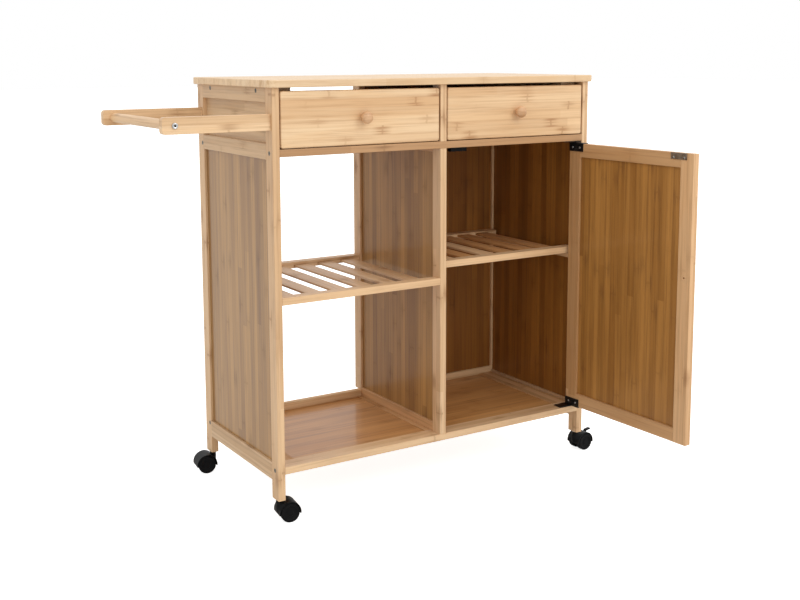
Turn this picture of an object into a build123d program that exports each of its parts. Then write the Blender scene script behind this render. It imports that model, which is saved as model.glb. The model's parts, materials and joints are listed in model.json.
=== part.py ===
from build123d import *
import os

# Kitchen cart in bamboo: a frame on casters with two drawers, one door, two slatted shelves
# and a towel handle.
# Sizes are in millimetres. While it is drawn, X runs left to right from the outer face of the left legs,
# Y runs front to back from the front face of the legs, and Z runs up from the floor.

# Frame as a whole
body_width = 808.0
body_depth = 374.0
overall_height = 900.0
left_bay_width = 380.0
drawer_space_height = 121.0
floor_frame_height = 101.0

# Worktop
worktop_thickness = 15.0
worktop_overhang = 10.0
worktop_corner_radius = 16.0
worktop_edge_round = 2.0
top_batten_width = 40.0
top_batten_height = 15.0

# Frame stock: upright posts with the side rails, and the flat rails that join them
leg_width = 16.0
leg_depth = 30.0
rail_thickness = 15.0
edge_round = 1.0

# Side frames
side_top_rail_height = 29.0
side_middle_rail_height = 32.0
side_middle_rail_drop = 6.0
side_bottom_rail_height = 37.0
side_bottom_rail_drop = 16.0
upper_panel_thickness = 4.0
upper_panel_setback = 9.0

# Panels and the grooves that hold them
panel_thickness = 5.0
groove_depth = 5.0
groove_clearance = 0.2
back_groove_depth = 3.0
back_panel_margin = 1.0

# Divider, floor and drawer frame
divider_rail_height = 20.0
divider_top_strip_height = 9.0
floor_strip_width = 40.0
floor_panel_recess = 2.0
bottom_back_rail_height = 30.0
runner_width = 20.0

# Slatted shelves
left_shelf_rise = 336.0
right_shelf_rise = 367.0
right_shelf_setback = 25.0
shelf_rail_depth = 25.0
slat_count = 6
slat_width = 36.0
slat_thickness = 5.0
left_slat_drop = 7.0
right_slat_drop = 3.5
left_shelf_end_gap = 17.0
right_shelf_end_gap = 29.5
slat_tenon = 6.0
cleat_width = 12.0
cleat_height = 12.0

# Towel handle on the left side
handle_reach = 221.0
handle_drop = 51.0
arm_height = 32.5
arm_thickness = 16.0
arm_end_round = 7.0
towel_rod_radius = 10.0
towel_rod_inset = 25.0
arm_screw_spread = 16.0

# Drawers
drawer_side_gap = 3.0
drawer_top_gap = 7.0
drawer_bottom_gap = 1.5
drawer_front_thickness = 15.0
drawer_front_corner_radius = 4.5
drawer_front_round = 3.0
drawer_box_inset = 6.0
drawer_box_height = 80.0
drawer_back_gap = 29.0
drawer_wall = 11.0
drawer_bottom_thickness = 4.0
drawer_bottom_rise = 6.0
drawer_groove_depth = 4.0
runner_gap = 0.4

# Door
door_side_gap = 4.0
door_end_gap = 5.0
door_thickness = 16.0
door_stile_width = 35.0
door_rail_height = 31.0
door_panel_setback = 5.0
door_open_angle = 92.0
door_knob_hole_drop = 262.0
door_knob_hole_radius = 2.2

# Knobs on the drawers
knob_radius = 13.0
knob_length = 24.0
knob_neck_radius = 7.0
knob_crown_height = 9.0
knob_tenon_radius = 4.0
knob_tenon_length = 10.0

# Pivot hinges, strike plate and magnetic catch
pivot_edge_inset = 9.0
pivot_face_inset = 7.0
pivot_radius = 2.5
pivot_clearance = 0.08
hinge_sheet = 1.5
hinge_leaf_length = 45.0
hinge_leaf_height = 18.0
hinge_screw_spread = 23.0
bracket_sheet = 2.0
bracket_length = 50.0
bracket_depth = 24.0
bracket_front_margin = 5.0
bracket_screw_edge = 4.0
bracket_screw_spread = 25.0
pivot_end_gap = 0.4
strike_length = 44.0
strike_height = 14.0
strike_sheet = 1.2
strike_screw_spread = 29.0
strike_screw_rise = 4.0
catch_centre = 40.0
catch_length = 42.0
catch_depth = 12.0
catch_height = 10.0
catch_gap = 0.5
magnet_inset = 4.0
magnet_depth = 6.0
magnet_wall = 2.0

# Fasteners
bore_clearance = 0.05
bolt_head_radius = 4.5
bolt_head_depth = 3.0
bolt_shank_radius = 2.0
bolt_length = 48.0
bolt_socket_width = 3.0
bolt_socket_depth = 2.0
top_bolt_inset = 72.0
top_bolt_drop = 7.0
top_bolt_length = 40.0
rod_bolt_head_radius = 6.0
rod_bolt_head_height = 2.5
rod_bolt_shank_radius = 3.0
rod_bolt_length = 45.0
rod_bolt_socket_radius = 2.4
screw_head_radius = 2.6
screw_head_height = 1.0
screw_shank_radius = 1.5
screw_length = 9.0

# Casters
wheel_radius = 20.0
wheel_width = 13.0
wheel_round = 1.5
wheel_dish_radius = 14.5
wheel_dish_depth = 1.2
wheel_gap = 0.5
axle_radius = 2.5
axle_grip = 9.5
web_thickness = 12.0
web_hub_radius = 9.0
hood_gap = 1.2
hood_wall = 2.3
hood_skirt = 3.0
caster_trail = 18.0
boss_radius = 7.0
stem_radius = 4.0
stem_socket = 19.0
stem_grip = 30.0
stem_collar_radius = 6.5
stem_collar_height = 3.0
swivel_gap = 0.5
lever_forward = 12.0
lever_rise = 13.0
lever_hub_radius = 3.2
lever_width = 7.4
lever_side_gap = 0.3
lever_notch_gap = 1.3
lever_trunnion_radius = 1.5
lever_stub_height = 9.0
lever_stub_lean = 4.0
lever_tab_length = 12.0
lever_tab_slope = 2.0
lever_sheet = 3.6
caster_turn = {"front_left": -8.0, "front_right": 2.0, "back_left": 172.0, "back_right": 20.0}
braked_casters = ("front_right", "back_right")

# Levels and lines that follow from these sizes
hood_radius = wheel_radius + hood_gap + hood_wall
boss_top = wheel_radius + hood_radius
leg_foot = boss_top + swivel_gap + stem_collar_height
lever_x = caster_trail + lever_forward
lever_z = wheel_radius + lever_rise
worktop_underside = overall_height - worktop_thickness
drawer_rail_top = worktop_underside - drawer_space_height
drawer_rail_underside = drawer_rail_top - rail_thickness
floor_frame_top = floor_frame_height + rail_thickness
back_rail_top = floor_frame_height + bottom_back_rail_height
inside_left = leg_width
inside_right = body_width - leg_width
divider_left = inside_left + left_bay_width
divider_right = divider_left + leg_width
divider_middle = (divider_left + divider_right) / 2
back_posts_front = body_depth - leg_depth
back_rail_back = back_posts_front + rail_thickness
left_shelf_underside = floor_frame_top + left_shelf_rise
right_shelf_underside = floor_frame_top + right_shelf_rise
back_panel_front = back_posts_front + groove_depth + back_panel_margin
arm_inset = (leg_depth - arm_thickness) / 2
arm_top = worktop_underside - handle_drop
arm_middle = arm_top - arm_height / 2
rod_x = towel_rod_inset - handle_reach
drawer_box_underside = drawer_rail_top + runner_gap
drawer_front_underside = drawer_rail_top + drawer_bottom_gap
drawer_front_top = worktop_underside - drawer_top_gap
door_left = divider_right + door_side_gap
door_right = inside_right - door_side_gap
door_underside = floor_frame_top + door_end_gap
door_top = drawer_rail_underside - door_end_gap
pivot_x = door_right - pivot_edge_inset
pivot_y = pivot_face_inset
left_side = Plane(origin=(body_width / 2, 0, 0), z_dir=(1, 0, 0))
from_base = (Align.CENTER, Align.CENTER, Align.MIN)


def block(x, y, z):
    """Box between pairs of limits."""
    limits = (x, y, z)
    middle = [(low + high) / 2 for low, high in limits]
    size = [high - low for low, high in limits]
    return Pos(*middle) * Box(*size)


def bar(x, y, z, along):
    """Box with its long edges eased, as sanded stock has."""
    return fillet(block(x, y, z).edges().filter_by(along), edge_round)


def grown(limits, amount):
    """The same pair of limits, moved apart on both sides."""
    return (limits[0] - amount, limits[1] + amount)


def groove(x, y, z):
    """Room for a panel with a little play."""
    return block(*[grown(limits, groove_clearance) for limits in (x, y, z)])


def peg(start, direction, radius, length):
    """Round bar from a point along a direction."""
    return Plane(origin=start, z_dir=direction) * Cylinder(radius, length, align=from_base)


def bolt(start, direction, length):
    """Bolt whose head sits flush at the start point, with a six-sided socket."""
    head = peg(start, direction, bolt_head_radius, bolt_head_depth)
    shank = peg(start, direction, bolt_shank_radius, length)
    socket = extrude(RegularPolygon(bolt_socket_width / 2, 6), bolt_socket_depth)
    return head + shank - Plane(origin=start, z_dir=direction) * socket


def bolt_hole(start, direction, length):
    """Room for such a bolt."""
    head = peg(start, direction, bolt_head_radius + bore_clearance, bolt_head_depth)
    return head + peg(start, direction, bolt_shank_radius + bore_clearance, length)


def screw(start, direction):
    """Small screw whose head stands on the surface at the start point."""
    outwards = [-part for part in direction]
    return peg(start, outwards, screw_head_radius, screw_head_height) + peg(
        start, direction, screw_shank_radius, screw_length
    )


def screw_hole(start, direction):
    """Room for such a screw's shank."""
    return peg(start, direction, screw_shank_radius + bore_clearance, screw_length + bore_clearance)


def mirrored(shape):
    """The same piece on the right side of the cart."""
    return mirror(shape, about=left_side)


def worktop():
    """Slab with rounded corners and eased edges."""
    slab = block(
        (-worktop_overhang, body_width + worktop_overhang),
        (-worktop_overhang, body_depth + worktop_overhang),
        (worktop_underside, overall_height),
    )
    slab = fillet(slab.edges().filter_by(Axis.Z), worktop_corner_radius)
    rims = slab.faces().sort_by(Axis.Z)[-1].edges() + slab.faces().sort_by(Axis.Z)[0].edges()
    return fillet(rims, worktop_edge_round)


# Panel limits on the left side, in their grooves
middle_rail_z = (
    drawer_rail_underside - side_middle_rail_drop,
    drawer_rail_underside - side_middle_rail_drop + side_middle_rail_height,
)
bottom_rail_z = (
    floor_frame_height - side_bottom_rail_drop,
    floor_frame_height - side_bottom_rail_drop + side_bottom_rail_height,
)
top_rail_z = (worktop_underside - side_top_rail_height, worktop_underside)
side_span = (leg_depth, back_posts_front)
centred_panel_x = ((leg_width - panel_thickness) / 2, (leg_width + panel_thickness) / 2)
upper_panel_limits = (
    (upper_panel_setback, upper_panel_setback + upper_panel_thickness),
    grown(side_span, groove_depth),
    grown((middle_rail_z[1], top_rail_z[0]), groove_depth),
)
lower_panel_limits = (
    centred_panel_x,
    grown(side_span, groove_depth),
    grown((bottom_rail_z[1], middle_rail_z[0]), groove_depth),
)
divider_panel_limits = (
    (divider_left + centred_panel_x[0], divider_left + centred_panel_x[1]),
    grown(side_span, groove_depth),
    grown(
        (floor_frame_top + divider_rail_height, drawer_rail_underside - divider_top_strip_height),
        groove_depth,
    ),
)
back_panel_y = (back_panel_front, back_panel_front + panel_thickness)
back_panel_x = grown((divider_right, inside_right), back_groove_depth)
back_lower_limits = (
    back_panel_x,
    back_panel_y,
    grown((back_rail_top, drawer_rail_underside), back_groove_depth),
)
back_upper_limits = (
    back_panel_x,
    back_panel_y,
    (drawer_rail_top - back_groove_depth, worktop_underside),
)

# Bolts through the legs into the ends of the front and back rails
front_bolt_y = leg_depth / 2
back_bolt_y = (back_posts_front + back_rail_back) / 2
drawer_bolt_z = (drawer_rail_underside + drawer_rail_top) / 2
front_bolt_points = [
    (0, front_bolt_y, drawer_bolt_z),
    (0, front_bolt_y, (floor_frame_height + floor_frame_top) / 2),
]
back_bolt_points = [
    (0, back_bolt_y, drawer_bolt_z),
    (0, back_bolt_y, (floor_frame_height + back_rail_top) / 2),
]
top_bolt_points = [
    (0, y, worktop_underside - top_bolt_drop) for y in (top_bolt_inset, body_depth - top_bolt_inset)
]
inwards = (1, 0, 0)
outwards = (-1, 0, 0)


def arm_screw_points(arm_y):
    """Where the two bolts that hold a handle arm go in, on the leg's inner face."""
    return [(leg_width, arm_y, arm_middle + step * arm_screw_spread / 2) for step in (-1, 1)]


front_arm_y = leg_depth / 2
back_arm_y = body_depth - leg_depth / 2


def leg(y, frame_points, arm_points):
    """Upright with grooves for the side panels, bolt holes and a socket for the caster's stem."""
    post = bar((0, leg_width), y, (leg_foot, worktop_underside), Axis.Z)
    post = post - groove(*upper_panel_limits) - groove(*lower_panel_limits)
    for point in frame_points:
        post = post - bolt_hole(point, inwards, bolt_length)
    for point in arm_points:
        post = post - bolt_hole(point, outwards, bolt_length)
    socket = (leg_width / 2, (y[0] + y[1]) / 2, leg_foot)
    return post - peg(socket, (0, 0, 1), stem_radius + bore_clearance, stem_grip + bore_clearance)


def legs():
    """The four corner posts; the left ones also take the bolts of the handle."""
    front, back = (0, leg_depth), (back_posts_front, body_depth)
    back_right = mirrored(leg(back, back_bolt_points, []))
    return {
        "front_left_leg": leg(front, front_bolt_points, arm_screw_points(front_arm_y)),
        "back_left_leg": leg(back, back_bolt_points, arm_screw_points(back_arm_y)),
        "front_right_leg": mirrored(leg(front, front_bolt_points, [])),
        "back_right_leg": back_right - groove(*back_lower_limits) - groove(*back_upper_limits),
    }


def left_side_rails():
    """Top, middle and bottom rail between the left legs."""
    rails = []
    for z in (top_rail_z, middle_rail_z, bottom_rail_z):
        rail = bar((0, leg_width), side_span, z, Axis.Y)
        rail = rail - groove(*upper_panel_limits) - groove(*lower_panel_limits)
        rails.append(rail)
    for point in top_bolt_points:
        rails[0] = rails[0] - bolt_hole(point, inwards, top_bolt_length)
    return rails


def left_top_batten():
    """Strip under the worktop beside the left top rail, which the top bolts hold."""
    x = (inside_left, inside_left + top_batten_width)
    batten = bar(x, side_span, (worktop_underside - top_batten_height, worktop_underside), Axis.Y)
    for point in top_bolt_points:
        batten = batten - bolt_hole(point, inwards, top_bolt_length)
    return batten


def frame_bolts():
    """Bolts on both sides: through the legs into the rails, and through the top rails into the battens."""
    left = [bolt(point, inwards, bolt_length) for point in front_bolt_points + back_bolt_points]
    left += [bolt(point, inwards, top_bolt_length) for point in top_bolt_points]
    return left + [mirrored(one) for one in left]


def with_bolt_holes(rail, points):
    """A rail bored at both ends for the frame bolts."""
    for point in points:
        hole = bolt_hole(point, inwards, bolt_length)
        rail = rail - hole - mirrored(hole)
    return rail


def divider_posts():
    """Front and back post between the two bays, below the drawers."""
    front = bar(
        (divider_left, divider_right), (0, leg_depth), (floor_frame_top, drawer_rail_underside), Axis.Z
    )
    back = bar(
        (divider_left, divider_right),
        (back_posts_front, body_depth),
        (back_rail_top, drawer_rail_underside),
        Axis.Z,
    )
    room = groove(*divider_panel_limits)
    return [front - room, back - room - groove(*back_lower_limits)]


def divider_rails():
    """Bottom rail and top strip between the divider's posts."""
    bottom = (floor_frame_top, floor_frame_top + divider_rail_height)
    top = (drawer_rail_underside - divider_top_strip_height, drawer_rail_underside)
    rails = []
    for z in (bottom, top):
        rail = bar((divider_left, divider_right), side_span, z, Axis.Y)
        rails.append(rail - groove(*divider_panel_limits))
    return rails


def drawer_front_rail():
    """Rail below the drawer fronts, over the whole width."""
    rail = bar(
        (inside_left, inside_right), (0, leg_depth), (drawer_rail_underside, drawer_rail_top), Axis.X
    )
    rail = with_bolt_holes(rail, front_bolt_points)
    for point in bracket_screw_points():
        rail = rail - screw_hole((point[0], point[1], drawer_rail_underside), (0, 0, 1))
    return rail


def drawer_back_rail():
    """Rail behind the drawers, with grooves for both back panels."""
    rail = bar(
        (inside_left, inside_right),
        (back_posts_front, back_rail_back),
        (drawer_rail_underside, drawer_rail_top),
        Axis.X,
    )
    rail = rail - groove(*back_lower_limits) - groove(*back_upper_limits)
    return with_bolt_holes(rail, back_bolt_points)


def drawer_uprights():
    """Front and back upright between the two drawers."""
    ends = ((0, leg_depth), (back_posts_front, body_depth))
    z = (drawer_rail_top, worktop_underside)
    return [bar((divider_left, divider_right), y, z, Axis.Z) - groove(*back_upper_limits) for y in ends]


def drawer_runners():
    """Flat strips from front to back that the drawers slide on."""
    spans = (
        (inside_left, inside_left + runner_width),
        grown((divider_middle, divider_middle), runner_width),
        (inside_right - runner_width, inside_right),
    )
    z = (drawer_rail_underside, drawer_rail_top)
    return [bar(x, side_span, z, Axis.Y) for x in spans]


floor_strip_x = (
    (inside_left, inside_left + floor_strip_width),
    (divider_middle - floor_strip_width / 2, divider_middle + floor_strip_width / 2),
    (inside_right - floor_strip_width, inside_right),
)
floor_panel_z = (
    floor_frame_top - floor_panel_recess - panel_thickness,
    floor_frame_top - floor_panel_recess,
)
floor_panel_y = grown((floor_strip_width, back_posts_front), groove_depth)
floor_panel_limits = [
    (grown((left[1], right[0]), groove_depth), floor_panel_y, floor_panel_z)
    for left, right in zip(floor_strip_x, floor_strip_x[1:])
]


def with_floor_grooves(piece):
    """A piece of the floor frame with room for the floor panels."""
    for limits in floor_panel_limits:
        piece = piece - groove(*limits)
    return piece


def bottom_front_rail():
    """Front rail of the floor frame, which also carries the lower hinge bracket."""
    rail = bar(
        (inside_left, inside_right), (0, floor_strip_width), (floor_frame_height, floor_frame_top), Axis.X
    )
    rail = with_bolt_holes(with_floor_grooves(rail), front_bolt_points)
    for point in bracket_screw_points():
        rail = rail - screw_hole((point[0], point[1], floor_frame_top), (0, 0, -1))
    return rail


def bottom_back_rail():
    """Back rail of the floor frame, taller than the front one."""
    rail = bar(
        (inside_left, inside_right),
        (back_posts_front, back_rail_back),
        (floor_frame_height, back_rail_top),
        Axis.X,
    )
    rail = with_floor_grooves(rail) - groove(*back_lower_limits)
    return with_bolt_holes(rail, back_bolt_points)


def floor_strips():
    """Strips from front to back at both ends of the floor and under the divider."""
    y = (floor_strip_width, back_posts_front)
    z = (floor_frame_height, floor_frame_top)
    return [with_floor_grooves(bar(x, y, z, Axis.Y)) for x in floor_strip_x]


def slat_limits(bay, front, back, underside, end_gap, drop):
    """Slats spread evenly between the gaps at both ends of a bay, with their ends in the two rails."""
    step = (bay[1] - bay[0] - 2 * end_gap - slat_width) / (slat_count - 1)
    top = underside + rail_thickness - drop
    limits = []
    for index in range(slat_count):
        low = bay[0] + end_gap + index * step
        y = grown((front[1], back[0]), slat_tenon)
        limits.append(((low, low + slat_width), y, (top - slat_thickness, top)))
    return limits


def shelf(bay, front, back, underside, end_gap, drop):
    """Two rails with mortises, and the slats between them."""
    places = slat_limits(bay, front, back, underside, end_gap, drop)
    rails = []
    for y in (front, back):
        rail = bar(bay, y, (underside, underside + rail_thickness), Axis.X)
        for place in places:
            rail = rail - groove(*place)
        rails.append(rail)
    return rails, [bar(*place, Axis.Y) for place in places]


def left_shelf():
    """Shelf of the open bay, as deep as the frame."""
    bay = (inside_left, divider_left)
    front = (0, shelf_rail_depth)
    back = (body_depth - shelf_rail_depth, body_depth)
    return shelf(bay, front, back, left_shelf_underside, left_shelf_end_gap, left_slat_drop)


def right_shelf():
    """Shelf behind the door, from a step behind the front up to the back panel."""
    bay = (divider_right, inside_right)
    front = (right_shelf_setback, right_shelf_setback + shelf_rail_depth)
    back = (back_panel_front - shelf_rail_depth, back_panel_front)
    return shelf(bay, front, back, right_shelf_underside, right_shelf_end_gap, right_slat_drop)


def shelf_cleats():
    """Strips on the posts that carry the right shelf."""
    y = (right_shelf_setback, back_panel_front)
    z = (right_shelf_underside - cleat_height, right_shelf_underside)
    spans = ((divider_right, divider_right + cleat_width), (inside_right - cleat_width, inside_right))
    return [bar(x, y, z, Axis.Y) for x in spans]


def handle_arms():
    """Flat arms with rounded outer ends, one on each left leg."""
    arms = []
    for arm_y in (front_arm_y, back_arm_y):
        y = grown((arm_y, arm_y), arm_thickness / 2)
        arm = block((-handle_reach, 0), y, (arm_top - arm_height, arm_top))
        arm = fillet(arm.edges().filter_by(Axis.Y).group_by(Axis.X)[0], arm_end_round)
        arm = fillet(arm.faces().filter_by(Axis.Y).edges().filter_by(Axis.X), edge_round)
        for point in arm_screw_points(arm_y):
            arm = arm - bolt_hole(point, outwards, bolt_length)
        arms.append(arm - rod_bolt_room())
    return arms


def rod_bolt_room():
    """One bore along the towel rod's axis for both rod bolts."""
    start = (rod_x, arm_inset, arm_middle)
    length = body_depth - 2 * arm_inset
    front = peg(start, (0, 1, 0), rod_bolt_shank_radius + bore_clearance, rod_bolt_length)
    end = (rod_x, arm_inset + length, arm_middle)
    return front + peg(end, (0, -1, 0), rod_bolt_shank_radius + bore_clearance, rod_bolt_length)


def towel_rod():
    """Round rod between the arms, bored at both ends."""
    start = (rod_x, arm_inset + arm_thickness, arm_middle)
    length = body_depth - 2 * (arm_inset + arm_thickness)
    return peg(start, (0, 1, 0), towel_rod_radius, length) - rod_bolt_room()


def rod_bolt(y, inward):
    """Button-head bolt through an arm into the end of the towel rod."""
    start = (rod_x, y, arm_middle)
    head = peg(start, (0, -inward, 0), rod_bolt_head_radius, rod_bolt_head_height)
    head = fillet(head.edges().sort_by(Axis.Y)[0 if inward > 0 else -1], rod_bolt_head_height / 2)
    shank = peg(start, (0, inward, 0), rod_bolt_shank_radius, rod_bolt_length)
    top = (rod_x, y - inward * rod_bolt_head_height, arm_middle)
    socket = extrude(RegularPolygon(rod_bolt_socket_radius, 6), bolt_socket_depth)
    return head + shank - Plane(origin=top, z_dir=(0, inward, 0)) * socket


def handle_bolts():
    """The rod's two bolts, and the bolts from inside the legs into the arms."""
    bolts = [rod_bolt(arm_inset, 1), rod_bolt(body_depth - arm_inset, -1)]
    for arm_y in (front_arm_y, back_arm_y):
        bolts += [bolt(point, outwards, bolt_length) for point in arm_screw_points(arm_y)]
    return bolts


def bracket_screw_points():
    """The two screws of each hinge bracket, near its back edge and clear of the frame bolts."""
    middle = inside_right - bracket_length / 2
    y = pivot_y - bracket_front_margin + bracket_depth - bracket_screw_edge
    return [(middle + step * bracket_screw_spread / 2, y) for step in (-1, 1)]


def hinge_brackets():
    """Plates on the drawer rail and the floor frame that hold the door's pivots, with their screws."""
    x = (inside_right - bracket_length, inside_right)
    y = (pivot_y - bracket_front_margin, pivot_y - bracket_front_margin + bracket_depth)
    bore = pivot_radius + pivot_clearance
    solids = []
    for face, side in ((drawer_rail_underside, 1), (floor_frame_top, -1)):
        plate = block(x, y, sorted((face, face - side * bracket_sheet)))
        start = (pivot_x, pivot_y, face - side * bracket_sheet)
        plate = plate - peg(start, (0, 0, side), bore, bracket_sheet)
        for point in bracket_screw_points():
            start = (point[0], point[1], face - side * bracket_sheet)
            room = peg(start, (0, 0, side), screw_shank_radius + bore_clearance, bracket_sheet)
            plate = plate - room
            solids.append(peg(start, (0, 0, side), screw_shank_radius, screw_length + bracket_sheet))
        solids.append(plate)
    return solids


def magnetic_catch():
    """Case under the drawer rail, and the magnet in its mouth."""
    middle = door_left + catch_centre
    front = door_thickness + strike_sheet + catch_gap
    z = (drawer_rail_underside - catch_height, drawer_rail_underside)
    case = block(grown((middle, middle), catch_length / 2), (front, front + catch_depth), z)
    mouth = (
        grown((middle, middle), catch_length / 2 - magnet_inset),
        (front, front + magnet_depth),
        grown(z, -magnet_wall),
    )
    return [case - block(*mouth), block(*mouth)]


def knob(start, direction):
    """Turned knob that stands on a face, with a tenon that goes into it."""
    tip = knob_length
    widest = tip - knob_crown_height
    with BuildPart() as turned:
        with BuildSketch(Plane.XZ):
            with BuildLine():
                Line((0, -knob_tenon_length), (knob_tenon_radius, -knob_tenon_length))
                Line((knob_tenon_radius, -knob_tenon_length), (knob_tenon_radius, 0))
                Line((knob_tenon_radius, 0), (knob_neck_radius, 0))
                Spline(
                    (knob_neck_radius, 0),
                    (knob_radius, widest),
                    tangents=((0, 1), (0, 1)),
                )
                Spline((knob_radius, widest), (0, tip), tangents=((0, 1), (-1, 0)))
                Line((0, tip), (0, -knob_tenon_length))
            make_face()
        revolve(axis=Axis.Z)
    return Plane(origin=start, z_dir=direction) * turned.part


def knob_hole(start, direction):
    """Room for a knob's tenon."""
    inward = [-part for part in direction]
    return peg(start, inward, knob_tenon_radius + bore_clearance, knob_tenon_length + bore_clearance)


def drawer(bay):
    """Inset front with a knob, and a box with a bottom in grooves."""
    towards = (0, -1, 0)
    front_x = grown(bay, -drawer_side_gap)
    box_x = grown(bay, -drawer_box_inset)
    box_y = (drawer_front_thickness, back_posts_front - drawer_back_gap)
    box_z = (drawer_box_underside, drawer_box_underside + drawer_box_height)
    bottom_low = drawer_box_underside + drawer_bottom_rise
    bottom_limits = (
        grown(box_x, drawer_groove_depth - drawer_wall),
        (box_y[0] - drawer_groove_depth, box_y[1] - drawer_wall + drawer_groove_depth),
        (bottom_low, bottom_low + drawer_bottom_thickness),
    )
    room = groove(*bottom_limits)
    front = block(front_x, (0, drawer_front_thickness), (drawer_front_underside, drawer_front_top))
    front = fillet(front.edges().filter_by(Axis.Y), drawer_front_corner_radius)
    front = fillet(front.faces().sort_by(Axis.Y)[0].edges(), drawer_front_round)
    knob_place = ((front_x[0] + front_x[1]) / 2, 0, (drawer_front_underside + drawer_front_top) / 2)
    left = bar((box_x[0], box_x[0] + drawer_wall), box_y, box_z, Axis.Y)
    right = bar((box_x[1] - drawer_wall, box_x[1]), box_y, box_z, Axis.Y)
    back = bar(grown(box_x, -drawer_wall), (box_y[1] - drawer_wall, box_y[1]), box_z, Axis.X)
    return {
        "front": front - room - knob_hole(knob_place, towards),
        "walls": [left - room, right - room, back - room],
        "bottom": block(*bottom_limits),
        "knob": knob(knob_place, towards),
    }


def door_leaf_screw_points():
    """Screws of the two hinge leaves, on the outside of the sheet on the door's inner face."""
    points = []
    for z in (door_top - hinge_leaf_height / 2, door_underside + hinge_leaf_height / 2):
        for step in (-1, 1):
            x = door_right - hinge_leaf_length / 2 + step * hinge_screw_spread / 2
            points.append((x, door_thickness + hinge_sheet, z))
    return points


def strike_screw_points():
    """Screws of the strike plate, low enough to pass under the catch."""
    middle = door_left + catch_centre
    z = door_top - strike_height + strike_screw_rise
    y = door_thickness + strike_sheet
    return [(middle + step * strike_screw_spread / 2, y, z) for step in (-1, 1)]


door_panel_y = (
    door_thickness - door_panel_setback - panel_thickness,
    door_thickness - door_panel_setback,
)
door_panel_limits = (
    grown((door_left + door_stile_width, door_right - door_stile_width), groove_depth),
    door_panel_y,
    grown((door_underside + door_rail_height, door_top - door_rail_height), groove_depth),
)


def with_door_screws(piece):
    """A door piece bored for the screws that go into it."""
    for point in door_leaf_screw_points() + strike_screw_points():
        piece = piece - screw_hole(point, (0, -1, 0))
    return piece


def door_stiles():
    """Uprights of the door: the free one first, then the one with the pivots."""
    spans = ((door_left, door_left + door_stile_width), (door_right - door_stile_width, door_right))
    stiles = []
    for x in spans:
        stile = bar(x, (0, door_thickness), (door_underside, door_top), Axis.Z)
        stiles.append(with_door_screws(stile - groove(*door_panel_limits)))
    stiles[0] = stiles[0] - door_knob_hole()
    return stiles


def door_knob_hole():
    """Bare hole through the middle of the free stile, where a knob can be screwed on."""
    start = (door_left + door_stile_width / 2, 0, door_top - door_knob_hole_drop)
    return peg(start, (0, 1, 0), door_knob_hole_radius, door_thickness)


def door_rails():
    """Bottom and top rail of the door."""
    x = (door_left + door_stile_width, door_right - door_stile_width)
    rails = []
    for low in (door_underside, door_top - door_rail_height):
        rail = bar(x, (0, door_thickness), (low, low + door_rail_height), Axis.X)
        rails.append(with_door_screws(rail - groove(*door_panel_limits)))
    return rails


def door_hinge_leaves():
    """Bent sheets on the hinge corners, each with its pivot pin."""
    x = (door_right - hinge_leaf_length, door_right)
    ends = ((door_top, 1, drawer_rail_underside), (door_underside, -1, floor_frame_top))
    leaves = []
    for face, side, bracket in ends:
        flange_z = sorted((face + side * hinge_sheet, face - side * hinge_leaf_height))
        flange = block(x, (door_thickness, door_thickness + hinge_sheet), flange_z)
        tab = block(x, (edge_round, door_thickness), sorted((face, face + side * hinge_sheet)))
        pin_length = abs(bracket - face) - pivot_end_gap
        leaf = flange + tab + peg((pivot_x, pivot_y, face), (0, 0, side), pivot_radius, pin_length)
        for point in door_leaf_screw_points():
            leaf = leaf - screw_hole(point, (0, -1, 0))
        leaves.append(leaf)
    return leaves


def strike_plate():
    """Steel plate on the door that meets the magnet."""
    middle = door_left + catch_centre
    plate = block(
        grown((middle, middle), strike_length / 2),
        (door_thickness, door_thickness + strike_sheet),
        (door_top - strike_height, door_top),
    )
    return with_door_screws(plate)


def door_screws():
    """Screws of the hinge leaves and the strike plate."""
    points = door_leaf_screw_points() + strike_screw_points()
    return [screw(point, (0, -1, 0)) for point in points]


def opened(shape):
    """A door piece turned about the pivots to where the door stands."""
    return shape.rotate(Axis((pivot_x, pivot_y, 0), (0, 0, 1)), door_open_angle)


def across(y, radius, length, x, z):
    """Round bar along the caster's axle direction, starting at y."""
    return peg((x, y, z), (0, 1, 0), radius, length)


def caster_housing(braked):
    """Hood and web of a twin-wheel caster, with bores for the stem and the axle."""
    half = web_thickness / 2 + wheel_gap + wheel_width
    hood = across(-half, hood_radius, 2 * half, caster_trail, wheel_radius)
    hood = hood + peg((0, 0, wheel_radius), (0, 0, 1), boss_radius, hood_radius)
    for low in (-half, web_thickness / 2):
        pocket = half - web_thickness / 2
        hood = hood - across(low, wheel_radius + hood_gap, pocket, caster_trail, wheel_radius)
    reach = caster_trail + hood_radius + boss_radius
    hood = hood - block((-reach, reach), grown((0, 0), reach), (-reach, wheel_radius - hood_skirt))
    hub = across(-web_thickness / 2, web_hub_radius, web_thickness, caster_trail, wheel_radius)
    housing = hood + hub
    socket = stem_socket + pivot_clearance
    housing = housing - peg((0, 0, boss_top), (0, 0, -1), stem_radius + pivot_clearance, socket)
    bore = axle_radius + pivot_clearance
    housing = housing - across(-web_thickness / 2, bore, web_thickness, caster_trail, wheel_radius)
    if braked:
        room = lever_hub_radius + lever_notch_gap
        notch = block(
            (lever_x - room, lever_x + hood_radius),
            grown((0, 0), lever_width / 2 + lever_side_gap),
            (lever_z - room, lever_z + hood_radius),
        )
        pin_bore = lever_trunnion_radius + pivot_clearance
        pin_room = across(-web_thickness / 2, pin_bore, web_thickness, lever_x, lever_z)
        housing = housing - notch - pin_room
    return housing


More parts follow.
